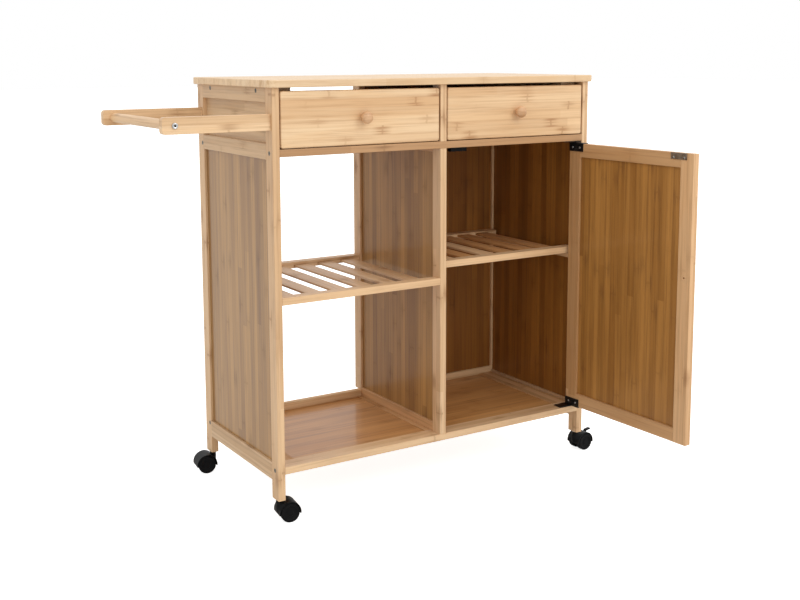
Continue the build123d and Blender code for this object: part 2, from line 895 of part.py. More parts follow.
def caster_wheels():
    """Two wheels pressed on one axle."""
    inner = web_thickness / 2 + wheel_gap
    wheel = across(inner, wheel_radius, wheel_width, caster_trail, wheel_radius)
    wheel = fillet(wheel.edges().filter_by(GeomType.CIRCLE), wheel_round)
    bore = axle_radius + bore_clearance
    wheel = wheel - across(inner, bore, axle_grip + bore_clearance, caster_trail, wheel_radius)
    face = inner + wheel_width - wheel_dish_depth
    wheel = wheel - across(face, wheel_dish_radius, wheel_dish_depth, caster_trail, wheel_radius)
    half = inner + axle_grip
    axle = across(-half, axle_radius, 2 * half, caster_trail, wheel_radius)
    return [wheel, mirror(wheel, about=Plane.XZ), axle]


def brake_lever():
    """Foot lever with trunnions in the web, standing raised."""
    hub = across(-lever_width / 2, lever_hub_radius, lever_width, lever_x, lever_z)
    knee = (lever_x + lever_stub_lean, lever_z + lever_stub_height)
    tip = (knee[0] + lever_tab_length, knee[1] + lever_tab_slope)
    path = Polyline((lever_x, lever_z), knee, tip)
    sheet = Plane.XZ * offset(path, lever_sheet / 2, kind=Kind.ARC)
    arm = extrude(make_face(sheet.edges()), lever_width / 2, both=True)
    pins = across(-web_thickness / 2, lever_trunnion_radius, web_thickness, lever_x, lever_z)
    return hub + arm + pins


def caster_stem():
    """Pin that goes up into a leg and down into the housing, with a collar under the leg."""
    low = boss_top - stem_socket
    stem = peg((0, 0, low), (0, 0, 1), stem_radius, leg_foot + stem_grip - low)
    return stem + peg((0, 0, boss_top + swivel_gap), (0, 0, 1), stem_collar_radius, stem_collar_height)


leg_middles = {
    "front_left": (leg_width / 2, leg_depth / 2),
    "front_right": (body_width - leg_width / 2, leg_depth / 2),
    "back_left": (leg_width / 2, body_depth - leg_depth / 2),
    "back_right": (body_width - leg_width / 2, body_depth - leg_depth / 2),
}


def under_leg(corner, shape):
    """A caster piece turned to its heading and put under its leg."""
    x, y = leg_middles[corner]
    return Pos(x, y, 0) * Rot(0, 0, caster_turn[corner]) * shape


def carcass():
    """All the pieces that stand still."""
    left_rails = left_side_rails()
    left_shelf_rails, left_slats = left_shelf()
    right_shelf_rails, right_slats = right_shelf()
    upper, lower = block(*upper_panel_limits), block(*lower_panel_limits)
    batten = left_top_batten()
    return {
        "worktop": worktop(),
        "top_battens": [batten, mirrored(batten)],
        **legs(),
        "left_side_rails": left_rails,
        "right_side_rails": [mirrored(rail) for rail in left_rails],
        "left_upper_panel": upper,
        "left_lower_panel": lower,
        "right_upper_panel": mirrored(upper),
        "right_lower_panel": mirrored(lower),
        "divider_posts": divider_posts(),
        "divider_rails": divider_rails(),
        "divider_panel": block(*divider_panel_limits),
        "right_back_panels": [block(*back_lower_limits), block(*back_upper_limits)],
        "drawer_front_rail": drawer_front_rail(),
        "drawer_back_rail": drawer_back_rail(),
        "drawer_uprights": drawer_uprights(),
        "drawer_runners": drawer_runners(),
        "bottom_front_rail": bottom_front_rail(),
        "bottom_back_rail": bottom_back_rail(),
        "floor_strips": floor_strips(),
        "floor_panels": [block(*limits) for limits in floor_panel_limits],
        "left_shelf_rails": left_shelf_rails,
        "left_shelf_slats": left_slats,
        "right_shelf_rails": right_shelf_rails,
        "right_shelf_slats": right_slats,
        "shelf_cleats": shelf_cleats(),
        "handle_arms": handle_arms(),
        "towel_rod": towel_rod(),
        "handle_bolts": handle_bolts(),
        "hinge_brackets": hinge_brackets(),
        "magnetic_catch": magnetic_catch(),
        "frame_bolts": frame_bolts(),
        "caster_stems": [under_leg(corner, caster_stem()) for corner in leg_middles],
    }


def door():
    """The door's pieces, drawn shut and then opened."""
    closed = {
        "door_stiles": door_stiles(),
        "door_rails": door_rails(),
        "door_panel": [block(*door_panel_limits)],
        "door_hinge_leaves": door_hinge_leaves(),
        "strike_plate": [strike_plate()],
        "door_screws": door_screws(),
    }
    return {name: [opened(shape) for shape in shapes] for name, shapes in closed.items()}


def drawers():
    """Both drawers, pushed in."""
    bays = {"left": (inside_left, divider_left), "right": (divider_right, inside_right)}
    pieces = {}
    for side, bay in bays.items():
        for name, shape in drawer(bay).items():
            pieces[f"{side}_drawer_{name}"] = shape
    return pieces


def casters():
    """A housing and wheels for each leg, and brake levers on the right ones."""
    pieces = {}
    for corner in leg_middles:
        braked = corner in braked_casters
        pieces[f"{corner}_caster_housing"] = under_leg(corner, caster_housing(braked))
        pieces[f"{corner}_caster_wheels"] = [under_leg(corner, shape) for shape in caster_wheels()]
        if braked:
            pieces[f"{corner}_brake_lever"] = under_leg(corner, brake_lever())
    return pieces


def joined(shapes):
    """One node's solids, whether it was given one shape or a list."""
    listed = shapes if isinstance(shapes, list) else [shapes]
    return Compound([solid for shape in listed for solid in shape.solids()])


pieces = {**carcass(), **door(), **drawers(), **casters()}
nodes = {name: joined(shapes) for name, shapes in pieces.items()}

# The origin is on the floor, under the middle of the box round the whole cart as it stands.
whole = Compound(list(nodes.values())).bounding_box()
origin = Vector((whole.min.X + whole.max.X) / 2, (whole.min.Y + whole.max.Y) / 2, whole.min.Z)

os.makedirs("parts", exist_ok=True)
for name, node in nodes.items():
    export_step(node.moved(Location(-origin)), f"parts/{name}.step")
print(len(nodes), "nodes; box", whole.size, "origin", origin)
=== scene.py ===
# %% [markdown]
# # A bamboo kitchen cart
#
# This lesson dresses a finished construction model. The cart's real pieces, their sizes and the way
# they move come from the frame. What is left to Blender is how each piece looks: laminated bamboo
# with its strips and knuckles, lacquered panels, turned knobs, black casters, plated screws. Each
# step first says what the real thing is, how it could be made, and why this way was chosen.

# %% Load the frame
import json
import math

import bmesh
import bpy
from mathutils import Matrix, Vector

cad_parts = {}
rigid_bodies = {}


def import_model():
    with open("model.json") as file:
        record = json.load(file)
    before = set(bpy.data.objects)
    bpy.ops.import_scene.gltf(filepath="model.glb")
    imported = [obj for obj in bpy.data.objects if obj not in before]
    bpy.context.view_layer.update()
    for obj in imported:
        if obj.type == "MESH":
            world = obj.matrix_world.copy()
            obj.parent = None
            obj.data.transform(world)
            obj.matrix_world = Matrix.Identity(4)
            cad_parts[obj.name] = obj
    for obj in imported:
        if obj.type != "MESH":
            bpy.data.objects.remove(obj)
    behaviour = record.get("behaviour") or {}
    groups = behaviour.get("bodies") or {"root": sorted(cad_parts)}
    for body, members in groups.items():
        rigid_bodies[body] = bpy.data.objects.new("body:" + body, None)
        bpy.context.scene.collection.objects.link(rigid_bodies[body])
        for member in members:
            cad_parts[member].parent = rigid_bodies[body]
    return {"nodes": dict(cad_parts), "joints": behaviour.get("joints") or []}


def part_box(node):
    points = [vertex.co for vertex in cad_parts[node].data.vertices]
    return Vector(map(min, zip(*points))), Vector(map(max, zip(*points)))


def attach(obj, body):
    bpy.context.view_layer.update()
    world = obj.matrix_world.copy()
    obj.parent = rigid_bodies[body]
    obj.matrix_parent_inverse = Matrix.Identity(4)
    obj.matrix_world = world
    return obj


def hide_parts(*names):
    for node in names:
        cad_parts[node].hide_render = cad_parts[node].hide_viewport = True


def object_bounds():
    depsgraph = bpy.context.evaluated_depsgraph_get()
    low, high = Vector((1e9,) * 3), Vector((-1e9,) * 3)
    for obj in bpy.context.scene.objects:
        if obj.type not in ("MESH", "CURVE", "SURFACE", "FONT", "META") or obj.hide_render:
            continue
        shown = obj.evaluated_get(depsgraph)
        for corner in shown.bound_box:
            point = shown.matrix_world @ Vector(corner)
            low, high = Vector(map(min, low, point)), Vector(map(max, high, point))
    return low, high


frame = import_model()
cad_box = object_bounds()
MM = 0.001

# %% [markdown]
# ## Reading places from the frame
#
# A node such as the shelf slats holds several loose solids. Their places could be typed in again as
# numbers, but then the looks would drift from the construction as soon as a size changes. So a
# helper welds a copy of the node's mesh, walks over its connected corners, and gives the points of
# one solid after another. Another says how far such points reach along any direction, which also
# works for pieces that stand askew.

# %% Loose solids and their reach
RIGHT, BACK, UP = Vector((1, 0, 0)), Vector((0, 1, 0)), Vector((0, 0, 1))
WELD = 0.001 * MM


def corners_of(node):
    """The corner points of a node's triangles."""
    return [vert.co for vert in frame["nodes"][node].data.vertices]


def welded(node):
    """A bmesh of a node's triangles with their shared corners joined."""
    shape = bmesh.new()
    shape.from_mesh(frame["nodes"][node].data)
    bmesh.ops.remove_doubles(shape, verts=shape.verts, dist=WELD)
    return shape


def loose_solids(node):
    """The corner points of each loose solid of a node, from left to right."""
    shape = welded(node)
    waiting = set(shape.verts)
    solids = []
    while waiting:
        border = [waiting.pop()]
        found = list(border)
        while border:
            near = {other for vert in border for edge in vert.link_edges for other in edge.verts}
            border = list(near & waiting)
            waiting -= near
            found += border
        solids.append([vert.co.copy() for vert in found])
    shape.free()
    # Middles to the micrometre also put solids in order that lie above one another.
    return sorted(solids, key=lambda points: [round(part, 6) for part in middle_of(points)])


def reach(points, direction):
    """How far points reach along a direction, from the lowest to the highest."""
    heights = [point.dot(direction) for point in points]
    return min(heights), max(heights)


def length_along(points, direction):
    """The distance from the lowest to the highest point along a direction."""
    low, high = reach(points, direction)
    return high - low


def middle_of(points):
    """The middle of the box around points."""
    return Vector(sum(reach(points, axis)) / 2 for axis in (RIGHT, BACK, UP))


print("left shelf:", len(loose_solids("left_shelf_slats")), "slats")

# %% [markdown]
# ## Short names for node trees
#
# Shader trees and geometry trees are both built from nodes and links. One helper makes a node, sets
# its settings, and either links or fills each input. The others stand for the nodes that are used
# most, so a formula reads like one.

# %% Helpers for node trees


def add(tree, kind, inputs=None, **settings):
    """A new node. Each input takes a value or the socket that feeds it."""
    node = tree.nodes.new(kind)
    for name, value in settings.items():
        setattr(node, name, value)
    for key, value in (inputs or {}).items():
        if isinstance(value, bpy.types.NodeSocket):
            tree.links.new(value, node.inputs[key])
        else:
            node.inputs[key].default_value = value
    return node


def calc(tree, operation, *values, clamp=False):
    """The output of a Math node."""
    inputs = dict(enumerate(values))
    return add(tree, "ShaderNodeMath", inputs, operation=operation, use_clamp=clamp).outputs[0]


def three(tree, x, y, z):
    """Three numbers as one vector."""
    return add(tree, "ShaderNodeCombineXYZ", {0: x, 1: y, 2: z}).outputs[0]


def eased(tree, value, low, high, to_low, to_high):
    """A value taken from one range to another, with soft ends."""
    ranges = {"Value": value, 1: low, 2: high, 3: to_low, 4: to_high}
    return add(tree, "ShaderNodeMapRange", ranges, interpolation_type="SMOOTHSTEP").outputs[0]


def between(tree, share, first, second):
    """Two numbers mixed by a share."""
    return add(tree, "ShaderNodeMix", {0: share, 2: first, 3: second}).outputs[0]


def tinted(tree, share, first, second, blend="MIX"):
    """Two colours mixed by a share."""
    inputs = {0: share, 6: first, 7: second}
    return add(tree, "ShaderNodeMix", inputs, data_type="RGBA", blend_type=blend).outputs[2]


def open_group(name, kind, inputs, outputs):
    """An empty node group with named inputs and outputs."""
    tree = bpy.data.node_groups.new(name, kind)
    for label, socket, value in inputs:
        made = tree.interface.new_socket(label, in_out="INPUT", socket_type=socket)
        if value is not None:
            made.default_value = value
    for label, socket in outputs:
        tree.interface.new_socket(label, in_out="OUTPUT", socket_type=socket)
    return tree, tree.nodes.new("NodeGroupInput").outputs, tree.nodes.new("NodeGroupOutput").inputs


print("node helpers: add, calc, three, eased, between, tinted, open_group")

# %% [markdown]
# ## What bamboo board is
#
# Bamboo is a hollow grass, so a board is pressed from thin strips of its wall. On the face one sees
# strips about two centimetres wide, each of its own tone, cut to lengths that end at different
# places. Along a strip run fine fibres, and every twenty or thirty centimetres it crosses a knuckle
# of the cane: a dark smudge with a frayed tail.
#
# A photo of such a board could be wrapped around the pieces, but it would stretch, repeat, and stop
# at the edges. A pattern worked out from the place in space has none of these faults: it runs on
# round the edges and shows the strips' ends on the end grain. It is written once, as a node group,
# for boards of every size. Lengths are in metres, and strengths run from 0 to 1.

# %% What goes into the pattern and comes out
FLOAT, COLOUR = "NodeSocketFloat", "NodeSocketColor"
board_inputs = (
    ("Along", FLOAT, 0.0),
    ("Across", FLOAT, 0.0),
    ("Through", FLOAT, 0.0),
    ("Strip", FLOAT, 0.02),
    ("Layer", FLOAT, 0.02),
    ("Length", FLOAT, 0.6),
    ("Knuckle gap", FLOAT, 0.26),
    ("Knuckle", FLOAT, 0.5),
    ("Seam", FLOAT, 0.2),
    ("Band", FLOAT, 0.4),
    ("Warmth", FLOAT, 0.4),
    ("Seed", FLOAT, 0.0),
    ("Pale", COLOUR, (1, 1, 1, 1)),
    ("Deep", COLOUR, (0, 0, 0, 1)),
    ("Dark", COLOUR, (0, 0, 0, 1)),
)
board_outputs = (("Colour", COLOUR), ("Roughness", FLOAT), ("Height", FLOAT))
print("pattern:", len(board_inputs), "inputs and", len(board_outputs), "outputs")

# %% [markdown]
# ### Strips and fibres
#
# Rounding down the place across the board gives the number of a strip, and a hash of that number
# gives the strip its own luck. The fibres are plain noise, squeezed across the strip and drawn out
# along it. Each kind of fibre is only another pair of scales.

# %% Strips and fibres
# Repeats for each metre along and across the fibres, and the noise's detail.
WIDE_BANDS = (2.0, 24.0, 1.0)
RED_PATCHES = (7.0, 45.0, 2.0)
SOFT_STREAKS = (4.0, 170.0, 3.0)
FINE_LINES = (12.0, 900.0, 2.0)
KNUCKLE_WAVES = (40.0, 110.0, 2.0)
THROUGH_SHARE = 0.4  # repeats through the board, as a share of those across it


def strip_numbers(tree, given):
    """The place across in strips, a point's strip and layer, and three numbers drawn for them."""
    across = calc(tree, "DIVIDE", given["Across"], given["Strip"])
    row = calc(tree, "FLOOR", across)
    layer = calc(tree, "FLOOR", calc(tree, "DIVIDE", given["Through"], given["Layer"]))
    place = three(tree, row, layer, given["Seed"])
    dice = add(tree, "ShaderNodeTexWhiteNoise", {"Vector": place}).outputs["Color"]
    return across, row, layer, add(tree, "ShaderNodeSeparateColor", {0: dice}).outputs


def fibres(tree, given, along, across, detail):
    """Noise drawn out along the fibres."""
    place = three(
        tree,
        calc(tree, "MULTIPLY", given["Along"], along),
        calc(tree, "MULTIPLY", given["Across"], across),
        calc(tree, "MULTIPLY_ADD", given["Through"], THROUGH_SHARE * across, given["Seed"]),
    )
    settings = {"Vector": place, "Scale": 1.0, "Detail": detail, "Roughness": 0.6}
    return add(tree, "ShaderNodeTexNoise", settings).outputs[0]


print("finest fibres:", FINE_LINES[1], "for each metre")

# %% [markdown]
# ### Knuckles
#
# A knuckle is a thin wavy line across one strip, in a halo that the streaks of the fibres break up.
# It could be drawn at even steps, but no two strips come from the same place of a cane. So each
# strip shifts its knuckles by its own number, and a second hash makes some strong and some faint.

# %% Knuckles
WAVE_HEIGHT = 9 * MM
KNUCKLE_STEP = 5.0  # sets the draws of one layer apart from those of the next
# The two ends of a range, and what they become.
LINE = (0.4 * MM, 5 * MM, 0.7, 0.0)
HALO = (0.0, 30 * MM, 1.0, 0.0)
PATCHES = (0.36, 0.6, 1.0, 0.1)
LUCK = (0.1, 0.7, 0.08, 1.0)


def knuckles(tree, given, row, layer, dice, streaks):
    """How dark the knuckles of the cane are at a point."""
    turns = calc(tree, "DIVIDE", given["Along"], given["Knuckle gap"])
    turns = calc(tree, "ADD", turns, dice[1])
    count = calc(tree, "MULTIPLY_ADD", layer, KNUCKLE_STEP, calc(tree, "FLOOR", turns))
    place = three(tree, row, count, given["Seed"])
    drawn = add(tree, "ShaderNodeTexWhiteNoise", {"Vector": place}).outputs["Value"]
    waves = fibres(tree, given, *KNUCKLE_WAVES)
    waves = calc(tree, "MULTIPLY_ADD", waves, WAVE_HEIGHT, -WAVE_HEIGHT / 2)
    off = calc(tree, "SUBTRACT", calc(tree, "FRACT", turns), 0.5)
    off = calc(tree, "MULTIPLY_ADD", off, given["Knuckle gap"], waves)
    off = calc(tree, "ABSOLUTE", off)
    line = eased(tree, off, *LINE)
    halo = eased(tree, off, *HALO)
    halo = calc(tree, "MULTIPLY", halo, eased(tree, streaks, *PATCHES))
    strength = eased(tree, drawn, *LUCK)
    return calc(tree, "MULTIPLY", calc(tree, "MAXIMUM", line, halo), strength)


print("knuckle halo reaches", round(HALO[1] / MM), "mm")

# %% [markdown]
# ### The whole pattern
#
# The colour is laid on in the order in which a board gets it: the tone of the cut piece, a blush of
# red, the fibres, the knuckles, and the glue line between two strips. Fibres and knuckles also make
# the board a little rougher and raise it, so light breaks on them.

# %% The whole pattern
RED_SHADE = (1.0, 0.86, 0.68, 1.0)
BATCH_STEP = 7.0  # sets the cut pieces of one layer apart from those of the next
LINE_SHARE, STREAK_SHARE = 0.3, 0.7
BASE_ROUGHNESS, FIBRE_ROUGHNESS, KNUCKLE_ROUGHNESS = 0.38, 0.2, 0.1
FIBRE_RELIEF, KNUCKLE_RELIEF = 0.6, 0.35
# The two ends of a range, and what they become.
BAND = (0.3, 0.7, 0.0, 1.0)
BLUSH = (0.4, 0.7, 0.0, 1.0)
FIBRE_SHADE = (0.56, 0.3, 0.0, 0.4)
GLUE_LINE = (0.1 * MM, 0.6 * MM, 1.0, 0.0)
SEAM_SHADE = (0.0, 4 * MM, 0.6, 0.0)


def laminated_board():
    """The node group that turns a place in a board into its colour, gloss and relief."""
    tree, given, result = open_group(
        "laminated bamboo", "ShaderNodeTree", board_inputs, board_outputs
    )
    across, row, layer, dice = strip_numbers(tree, given)

    # Each strip is cut to length, and every cut piece has its own tone that drifts along it.
    cuts = calc(tree, "ADD", calc(tree, "DIVIDE", given["Along"], given["Length"]), dice[0])
    batch = calc(tree, "MULTIPLY_ADD", layer, BATCH_STEP, given["Seed"])
    place = three(tree, row, batch, calc(tree, "FLOOR", cuts))
    drawn = add(tree, "ShaderNodeTexWhiteNoise", {"Vector": place}).outputs
    band = eased(tree, fibres(tree, given, *WIDE_BANDS), *BAND)
    share = between(tree, given["Band"], drawn["Value"], band)
    colour = tinted(tree, share, given["Deep"], given["Pale"])

    # Some strips are redder than others, and the red fades in and out along them.
    red = add(tree, "ShaderNodeSeparateColor", {0: drawn["Color"]}).outputs[2]
    blush = eased(tree, fibres(tree, given, *RED_PATCHES), *BLUSH)
    redness = calc(tree, "MULTIPLY", calc(tree, "MAXIMUM", red, blush), given["Warmth"])
    colour = tinted(tree, redness, colour, RED_SHADE, "MULTIPLY")

    # Long soft streaks and fine lines, as the fibres run.
    streaks = fibres(tree, given, *SOFT_STREAKS)
    lines = fibres(tree, given, *FINE_LINES)
    streak_part = calc(tree, "MULTIPLY", streaks, STREAK_SHARE)
    fibre = calc(tree, "MULTIPLY_ADD", lines, LINE_SHARE, streak_part)
    colour = tinted(tree, eased(tree, fibre, *FIBRE_SHADE), colour, given["Dark"])

    knuckle = knuckles(tree, given, row, layer, dice, streaks)
    smudge = calc(tree, "MULTIPLY", knuckle, given["Knuckle"], clamp=True)
    colour = tinted(tree, smudge, colour, given["Dark"])

    # Two strips meet in a hair-thin glue line, and each darkens a little towards it.
    edge = calc(tree, "MULTIPLY", calc(tree, "PINGPONG", across, 0.5), given["Strip"])
    glue = eased(tree, edge, *GLUE_LINE)
    soft = eased(tree, edge, *SEAM_SHADE)
    seam = calc(tree, "MULTIPLY", calc(tree, "MAXIMUM", glue, soft), given["Seam"])
    tree.links.new(tinted(tree, seam, colour, given["Dark"]), result["Colour"])

    rough = calc(tree, "MULTIPLY_ADD", fibre, FIBRE_ROUGHNESS, BASE_ROUGHNESS)
    rough = calc(tree, "MULTIPLY_ADD", knuckle, KNUCKLE_ROUGHNESS, rough)
    tree.links.new(rough, result["Roughness"])
    relief = calc(tree, "MULTIPLY", knuckle, KNUCKLE_RELIEF)
    relief = calc(tree, "MULTIPLY_ADD", fibre, FIBRE_RELIEF, relief)
    tree.links.new(calc(tree, "SUBTRACT", relief, glue), result["Height"])
    return tree


board_pattern = laminated_board()
print("pattern:", board_pattern.name, "with", len(board_pattern.nodes), "nodes")

# %% [markdown]
# ## Bamboo finishes
#
# The cart uses one plant in several tones. The frame, the worktop and the drawer fronts are pale;
# the thin panels in the frames are steamed to a caramel brown. Each palette has a pale and a deep
# tone, between which the strips lie, and a dark one for fibres and knuckles.
#
# All are under clear lacquer, which is the coat of the Principled shader: a brown panel looks grey
# where the lacquer mirrors a white wall, and deep brown where it mirrors the dark inside of the
# cart.

# %% Tones of bamboo


def tone(red, green, blue):
    """A colour as it looks on screen, from 0 to 255, in the linear numbers that shaders use."""
    shares = [part / 255 for part in (red, green, blue)]
    linear = [x / 12.92 if x <= 0.04045 else ((x + 0.055) / 1.055) ** 2.4 for x in shares]
    return linear + [1.0]


palettes = {
    "frame": (tone(234, 201, 160), tone(209, 171, 128), tone(150, 104, 62)),
    # Pale and deep set wide apart: real strip tones, widened into painted light and painted shade.
    "slat": (tone(240, 204, 160), tone(196, 137, 78), tone(136, 86, 44)),
    "side": (tone(212, 180, 142), tone(190, 156, 118), tone(136, 98, 62)),
    "rail": (tone(188, 147, 105), tone(166, 125, 85), tone(122, 82, 46)),
    # A darker copy of the frame's pale wood: painted shade, for the door's inside face and bars
    # inside the cart.
    "door": (tone(226, 184, 138), tone(184, 139, 92), tone(140, 94, 52)),
    "top": (tone(232, 204, 167), tone(220, 188, 147), tone(174, 128, 82)),
    "front": (tone(235, 204, 163), tone(213, 174, 130), tone(160, 108, 60)),
    "knob": (tone(222, 180, 138), tone(194, 150, 108), tone(150, 102, 60)),
    "panel": (tone(190, 135, 68), tone(143, 94, 38), tone(85, 49, 16)),
    # A copy of the panel tone for the two panels that face left: painted shade.
    "screen": (tone(184, 138, 75), tone(139, 97, 45), tone(84, 53, 23)),
    # A deeper copy of the panel tone for the sheets inside the right cupboard: painted shade.
    "inner": (tone(164, 108, 43), tone(121, 73, 24), tone(68, 37, 10)),
    "floor": (tone(214, 159, 99), tone(184, 129, 72), tone(112, 69, 30)),
}
print("palettes:", ", ".join(palettes))

# %% [markdown]
# ### One board's finish
#
# A board's pattern needs to know which way its fibres run. Three axis letters say so for each
# finish: along the fibres, across the strips, and through the board. Where boards of one node meet
# in a corner, as the walls of a drawer do, a bend says how far along the first board its fibres
# change to the other way. A seed picks where strips end and knuckles fall.
#
# What most boards share, such as the length of a strip or the strength of the lacquer, stands in
# two tables, and a finish names only what is different on it.

# %% Finishes of the bamboo boards
AXES = {"X": 0, "Y": 1, "Z": 2}
ONE_LAYER = 1.0  # thicker than any board
board_looks = {"Length": 0.9, "Knuckle": 0.5, "Seam": 0.1, "Band": 0.4, "Warmth": 0.3}
lacquer = {
    "Specular IOR Level": ("shine", 0.4),
    "Coat Weight": ("coat", 0.12),
    "Coat Roughness": ("gloss", 0.2),
}


def bamboo(name, palette, axes, start, seed, strip, layer=ONE_LAYER, **looks):
    """Lacquered bamboo. The axes name the way along the fibres, across the strips and through."""
    material = bpy.data.materials.new(name)
    material.use_nodes = True
    tree = material.node_tree
    shader = tree.nodes["Principled BSDF"].inputs
    place = add(tree, "ShaderNodeTexCoord").outputs["Object"]
    inputs = {"Vector": place, "Location": start, "Rotation": (0, 0, looks.get("turn", 0.0))}
    settled = add(tree, "ShaderNodeMapping", inputs, vector_type="TEXTURE").outputs[0]
    parts = add(tree, "ShaderNodeSeparateXYZ", {0: settled}).outputs
    along, across, through = (parts[AXES[axis]] for axis in axes)
    if "bend" in looks:
        past = calc(tree, "GREATER_THAN", along, looks["bend"])
        along, through = between(tree, past, along, through), between(tree, past, through, along)
    inputs = {"Along": along, "Across": across, "Through": through}
    inputs.update({"Strip": strip, "Layer": layer, "Seed": seed})
    inputs.update(dict(zip(("Pale", "Deep", "Dark"), palettes[palette])))
    inputs.update({label: looks.get(label.lower(), usual) for label, usual in board_looks.items()})
    made = add(tree, "ShaderNodeGroup", inputs, node_tree=board_pattern).outputs
    relief = {"Height": made["Height"], "Strength": 0.25, "Distance": 0.3 * MM}
    tree.links.new(made["Colour"], shader["Base Color"])
    tree.links.new(made["Roughness"], shader["Roughness"])
    tree.links.new(add(tree, "ShaderNodeBump", relief).outputs[0], shader["Normal"])
    for label, (short, usual) in lacquer.items():
        shader[label].default_value = looks.get(short, usual)
    return material


def dress(node, material):
    """Puts a finish on a node of the frame."""
    slots = frame["nodes"][node].data.materials
    slots.clear()
    slots.append(material)


def board(node, palette, axes, seed, strip, **looks):
    """Dresses a node in bamboo whose pattern starts at the node's own corner."""
    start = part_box(node)[0]
    dress(node, bamboo(f"bamboo {node}", palette, axes, start, seed, strip, **looks))


print("usual looks:", board_looks, "and", dict(lacquer.values()))

# %% [markdown]
# ## The frame: legs and rails
#
# Legs and rails are sawn from pale board, so each has only one or two strips on a face, and
# knuckles stand out as dark smudges. The posts are glued from two thin layers, which shows on the
# front as a pale and a tan half. Every node gets a finish of its own, with the pattern's start at
# its own corner and its own seed: two legs from one board would never carry the same knuckles at
# the same height. Bars deep inside the cart are only thinly lacquered, so they stay warm and dull.

# %% Dress the pale bars
upright = ("Z", "X", "Y")
sideways = ("X", "Z", "Y")
backwards = ("Y", "Z", "X")
post_strip, bar_strip = 8 * MM, 16 * MM
legs = ("front_left_leg", "back_left_leg", "front_right_leg", "back_right_leg")
posts = (*legs, "divider_posts", "drawer_uprights")
long_rails = ("bottom_front_rail", "bottom_back_rail", "left_shelf_rails", "right_shelf_rails")
sides = ("left_side_rails", "left_upper_panel", "right_side_rails", "right_upper_panel")
bar_groups = (
    ("frame", upright, posts),
    ("frame", sideways, (*long_rails, "handle_arms")),
    ("door", backwards, ("divider_rails",)),
    ("frame", backwards, ("drawer_runners", "shelf_cleats", "top_battens")),
    # The floor strips in the cupboard take the darker door palette: painted shade.
    ("door", backwards, ("floor_strips",)),
    ("side", backwards, sides),
    ("rail", sideways, ("drawer_front_rail", "drawer_back_rail")),
)
post_looks = {"band": 0.25, "coat": 0.3, "knuckle": 0.75}
bar_looks = {"band": 0.25, "coat": 0.12, "knuckle": 0.5}
thin_lacquer = {"coat": 0.0, "shine": 0.08}
thinly_lacquered = ("back_right_leg", "floor_strips", "shelf_cleats", "bottom_back_rail")
bars = {node: (palette, axes) for palette, axes, nodes in bar_groups for node in nodes}
for seed, (node, (palette, axes)) in enumerate(bars.items(), start=1):
    strip, looks = (post_strip, post_looks) if node in posts else (bar_strip, bar_looks)
    if node in thinly_lacquered:
        looks = {**looks, **thin_lacquer}
    board(node, palette, axes, seed, strip, layer=bar_strip, **looks)
print("pale bars:", len(bars))

# %% [markdown]
# ### The drawers' walls
#
# The two side walls and the back wall of a drawer are one node, and their fibres run two ways. They
# could be cut apart, but a finish that changes its way at the back wall does the same. All corners
# of the node lie at the front ends of the side walls or on the back wall, so the first corner
# behind the front ends tells where the back wall starts. The fibres turn just before it.

# %% Dress the drawers' walls
wall_strip, before_wall = 30 * MM, 0.5 * MM
for seed, side in enumerate(("left", "right"), start=31):
    node = f"{side}_drawer_walls"
    front_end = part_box(node)[0].y
    places = [point.y - front_end for point in corners_of(node)]
    bend = min(place for place in places if place > MM) - before_wall
    board(node, "frame", backwards, seed, wall_strip, bend=bend)
    print(node, "fibres turn after", round(bend / MM, 1), "mm")

# %% [markdown]
# ### Worktop and drawer fronts
#
# These are the faces one sees first: wide boards of many strips, sorted for a pale and even tone.
# The worktop is sanded most, so its knuckles are faint. On the drawer fronts they are strong, and
# where they fall was picked by trying seeds.

# %% Dress the worktop and the drawer fronts
flat = ("X", "Y", "Z")
top_strip, front_strip = 22 * MM, 19 * MM
front_seeds = {"left": 52, "right": 125}
board("worktop", "top", flat, seed=41, strip=top_strip, knuckle=0.4, coat=0.15)
for side, seed in front_seeds.items():
    board(f"{side}_drawer_front", "front", sideways, seed, front_strip, length=0.7, knuckle=0.75)
print("worktop and", len(front_seeds), "drawer fronts dressed")

# %% [markdown]
# ## The panels
#
# The panels are thin sheets of darker strips that stand upright, and on the floor they lie along
# the cart. They are smoother and glossier than the frame, because the lacquer is rolled on before
# they are cut. The left panel and the divider, which face left, take a copy of the panel tone with
# painted shade, and the sheets in the right cupboard a deeper one, painted shade for the dim inside
# of the cupboard. Not all sheets took up as much lacquer, so the table gives each its coat.

# %% Dress the brown panels
upright_side = ("Z", "Y", "X")
panel_strip, floor_strip = 18 * MM, 20 * MM
sheet_looks = {"length": 1.1, "gloss": 0.12, "warmth": 0.1}
panel_looks = {**sheet_looks, "seam": 0.2, "knuckle": 0.3, "band": 0.4}
floor_looks = {**sheet_looks, "seam": 0.08, "knuckle": 0.25, "band": 0.6, "coat": 0.4}
# The screen and inner palettes paint shade onto the left-facing panels and into the cupboard.
panels = {
    "left_lower_panel": ("screen", upright_side, 0.75),
    "right_lower_panel": ("inner", upright_side, 0.35),
    "divider_panel": ("screen", upright_side, 0.2),
    "right_back_panels": ("inner", upright, 0.35),
}
for seed, (node, (palette, axes, coat)) in enumerate(panels.items(), start=70):
    board(node, palette, axes, seed, panel_strip, coat=coat, **panel_looks)
floors = ("floor_panels", "left_drawer_bottom", "right_drawer_bottom")
for seed, node in enumerate(floors, start=80):
    board(node, "floor", flat, seed, floor_strip, **floor_looks)
print("brown panels:", len(panels) + len(floors))

# %% [markdown]
# ## The door
#
# The door stands open, so its boards don't lie along the cart's axes. Its hinge says where it turns
# and how far it is from shut. The pattern's start is put on the hinge and turned by the same angle,
# which lays the strips along the door's own edges.

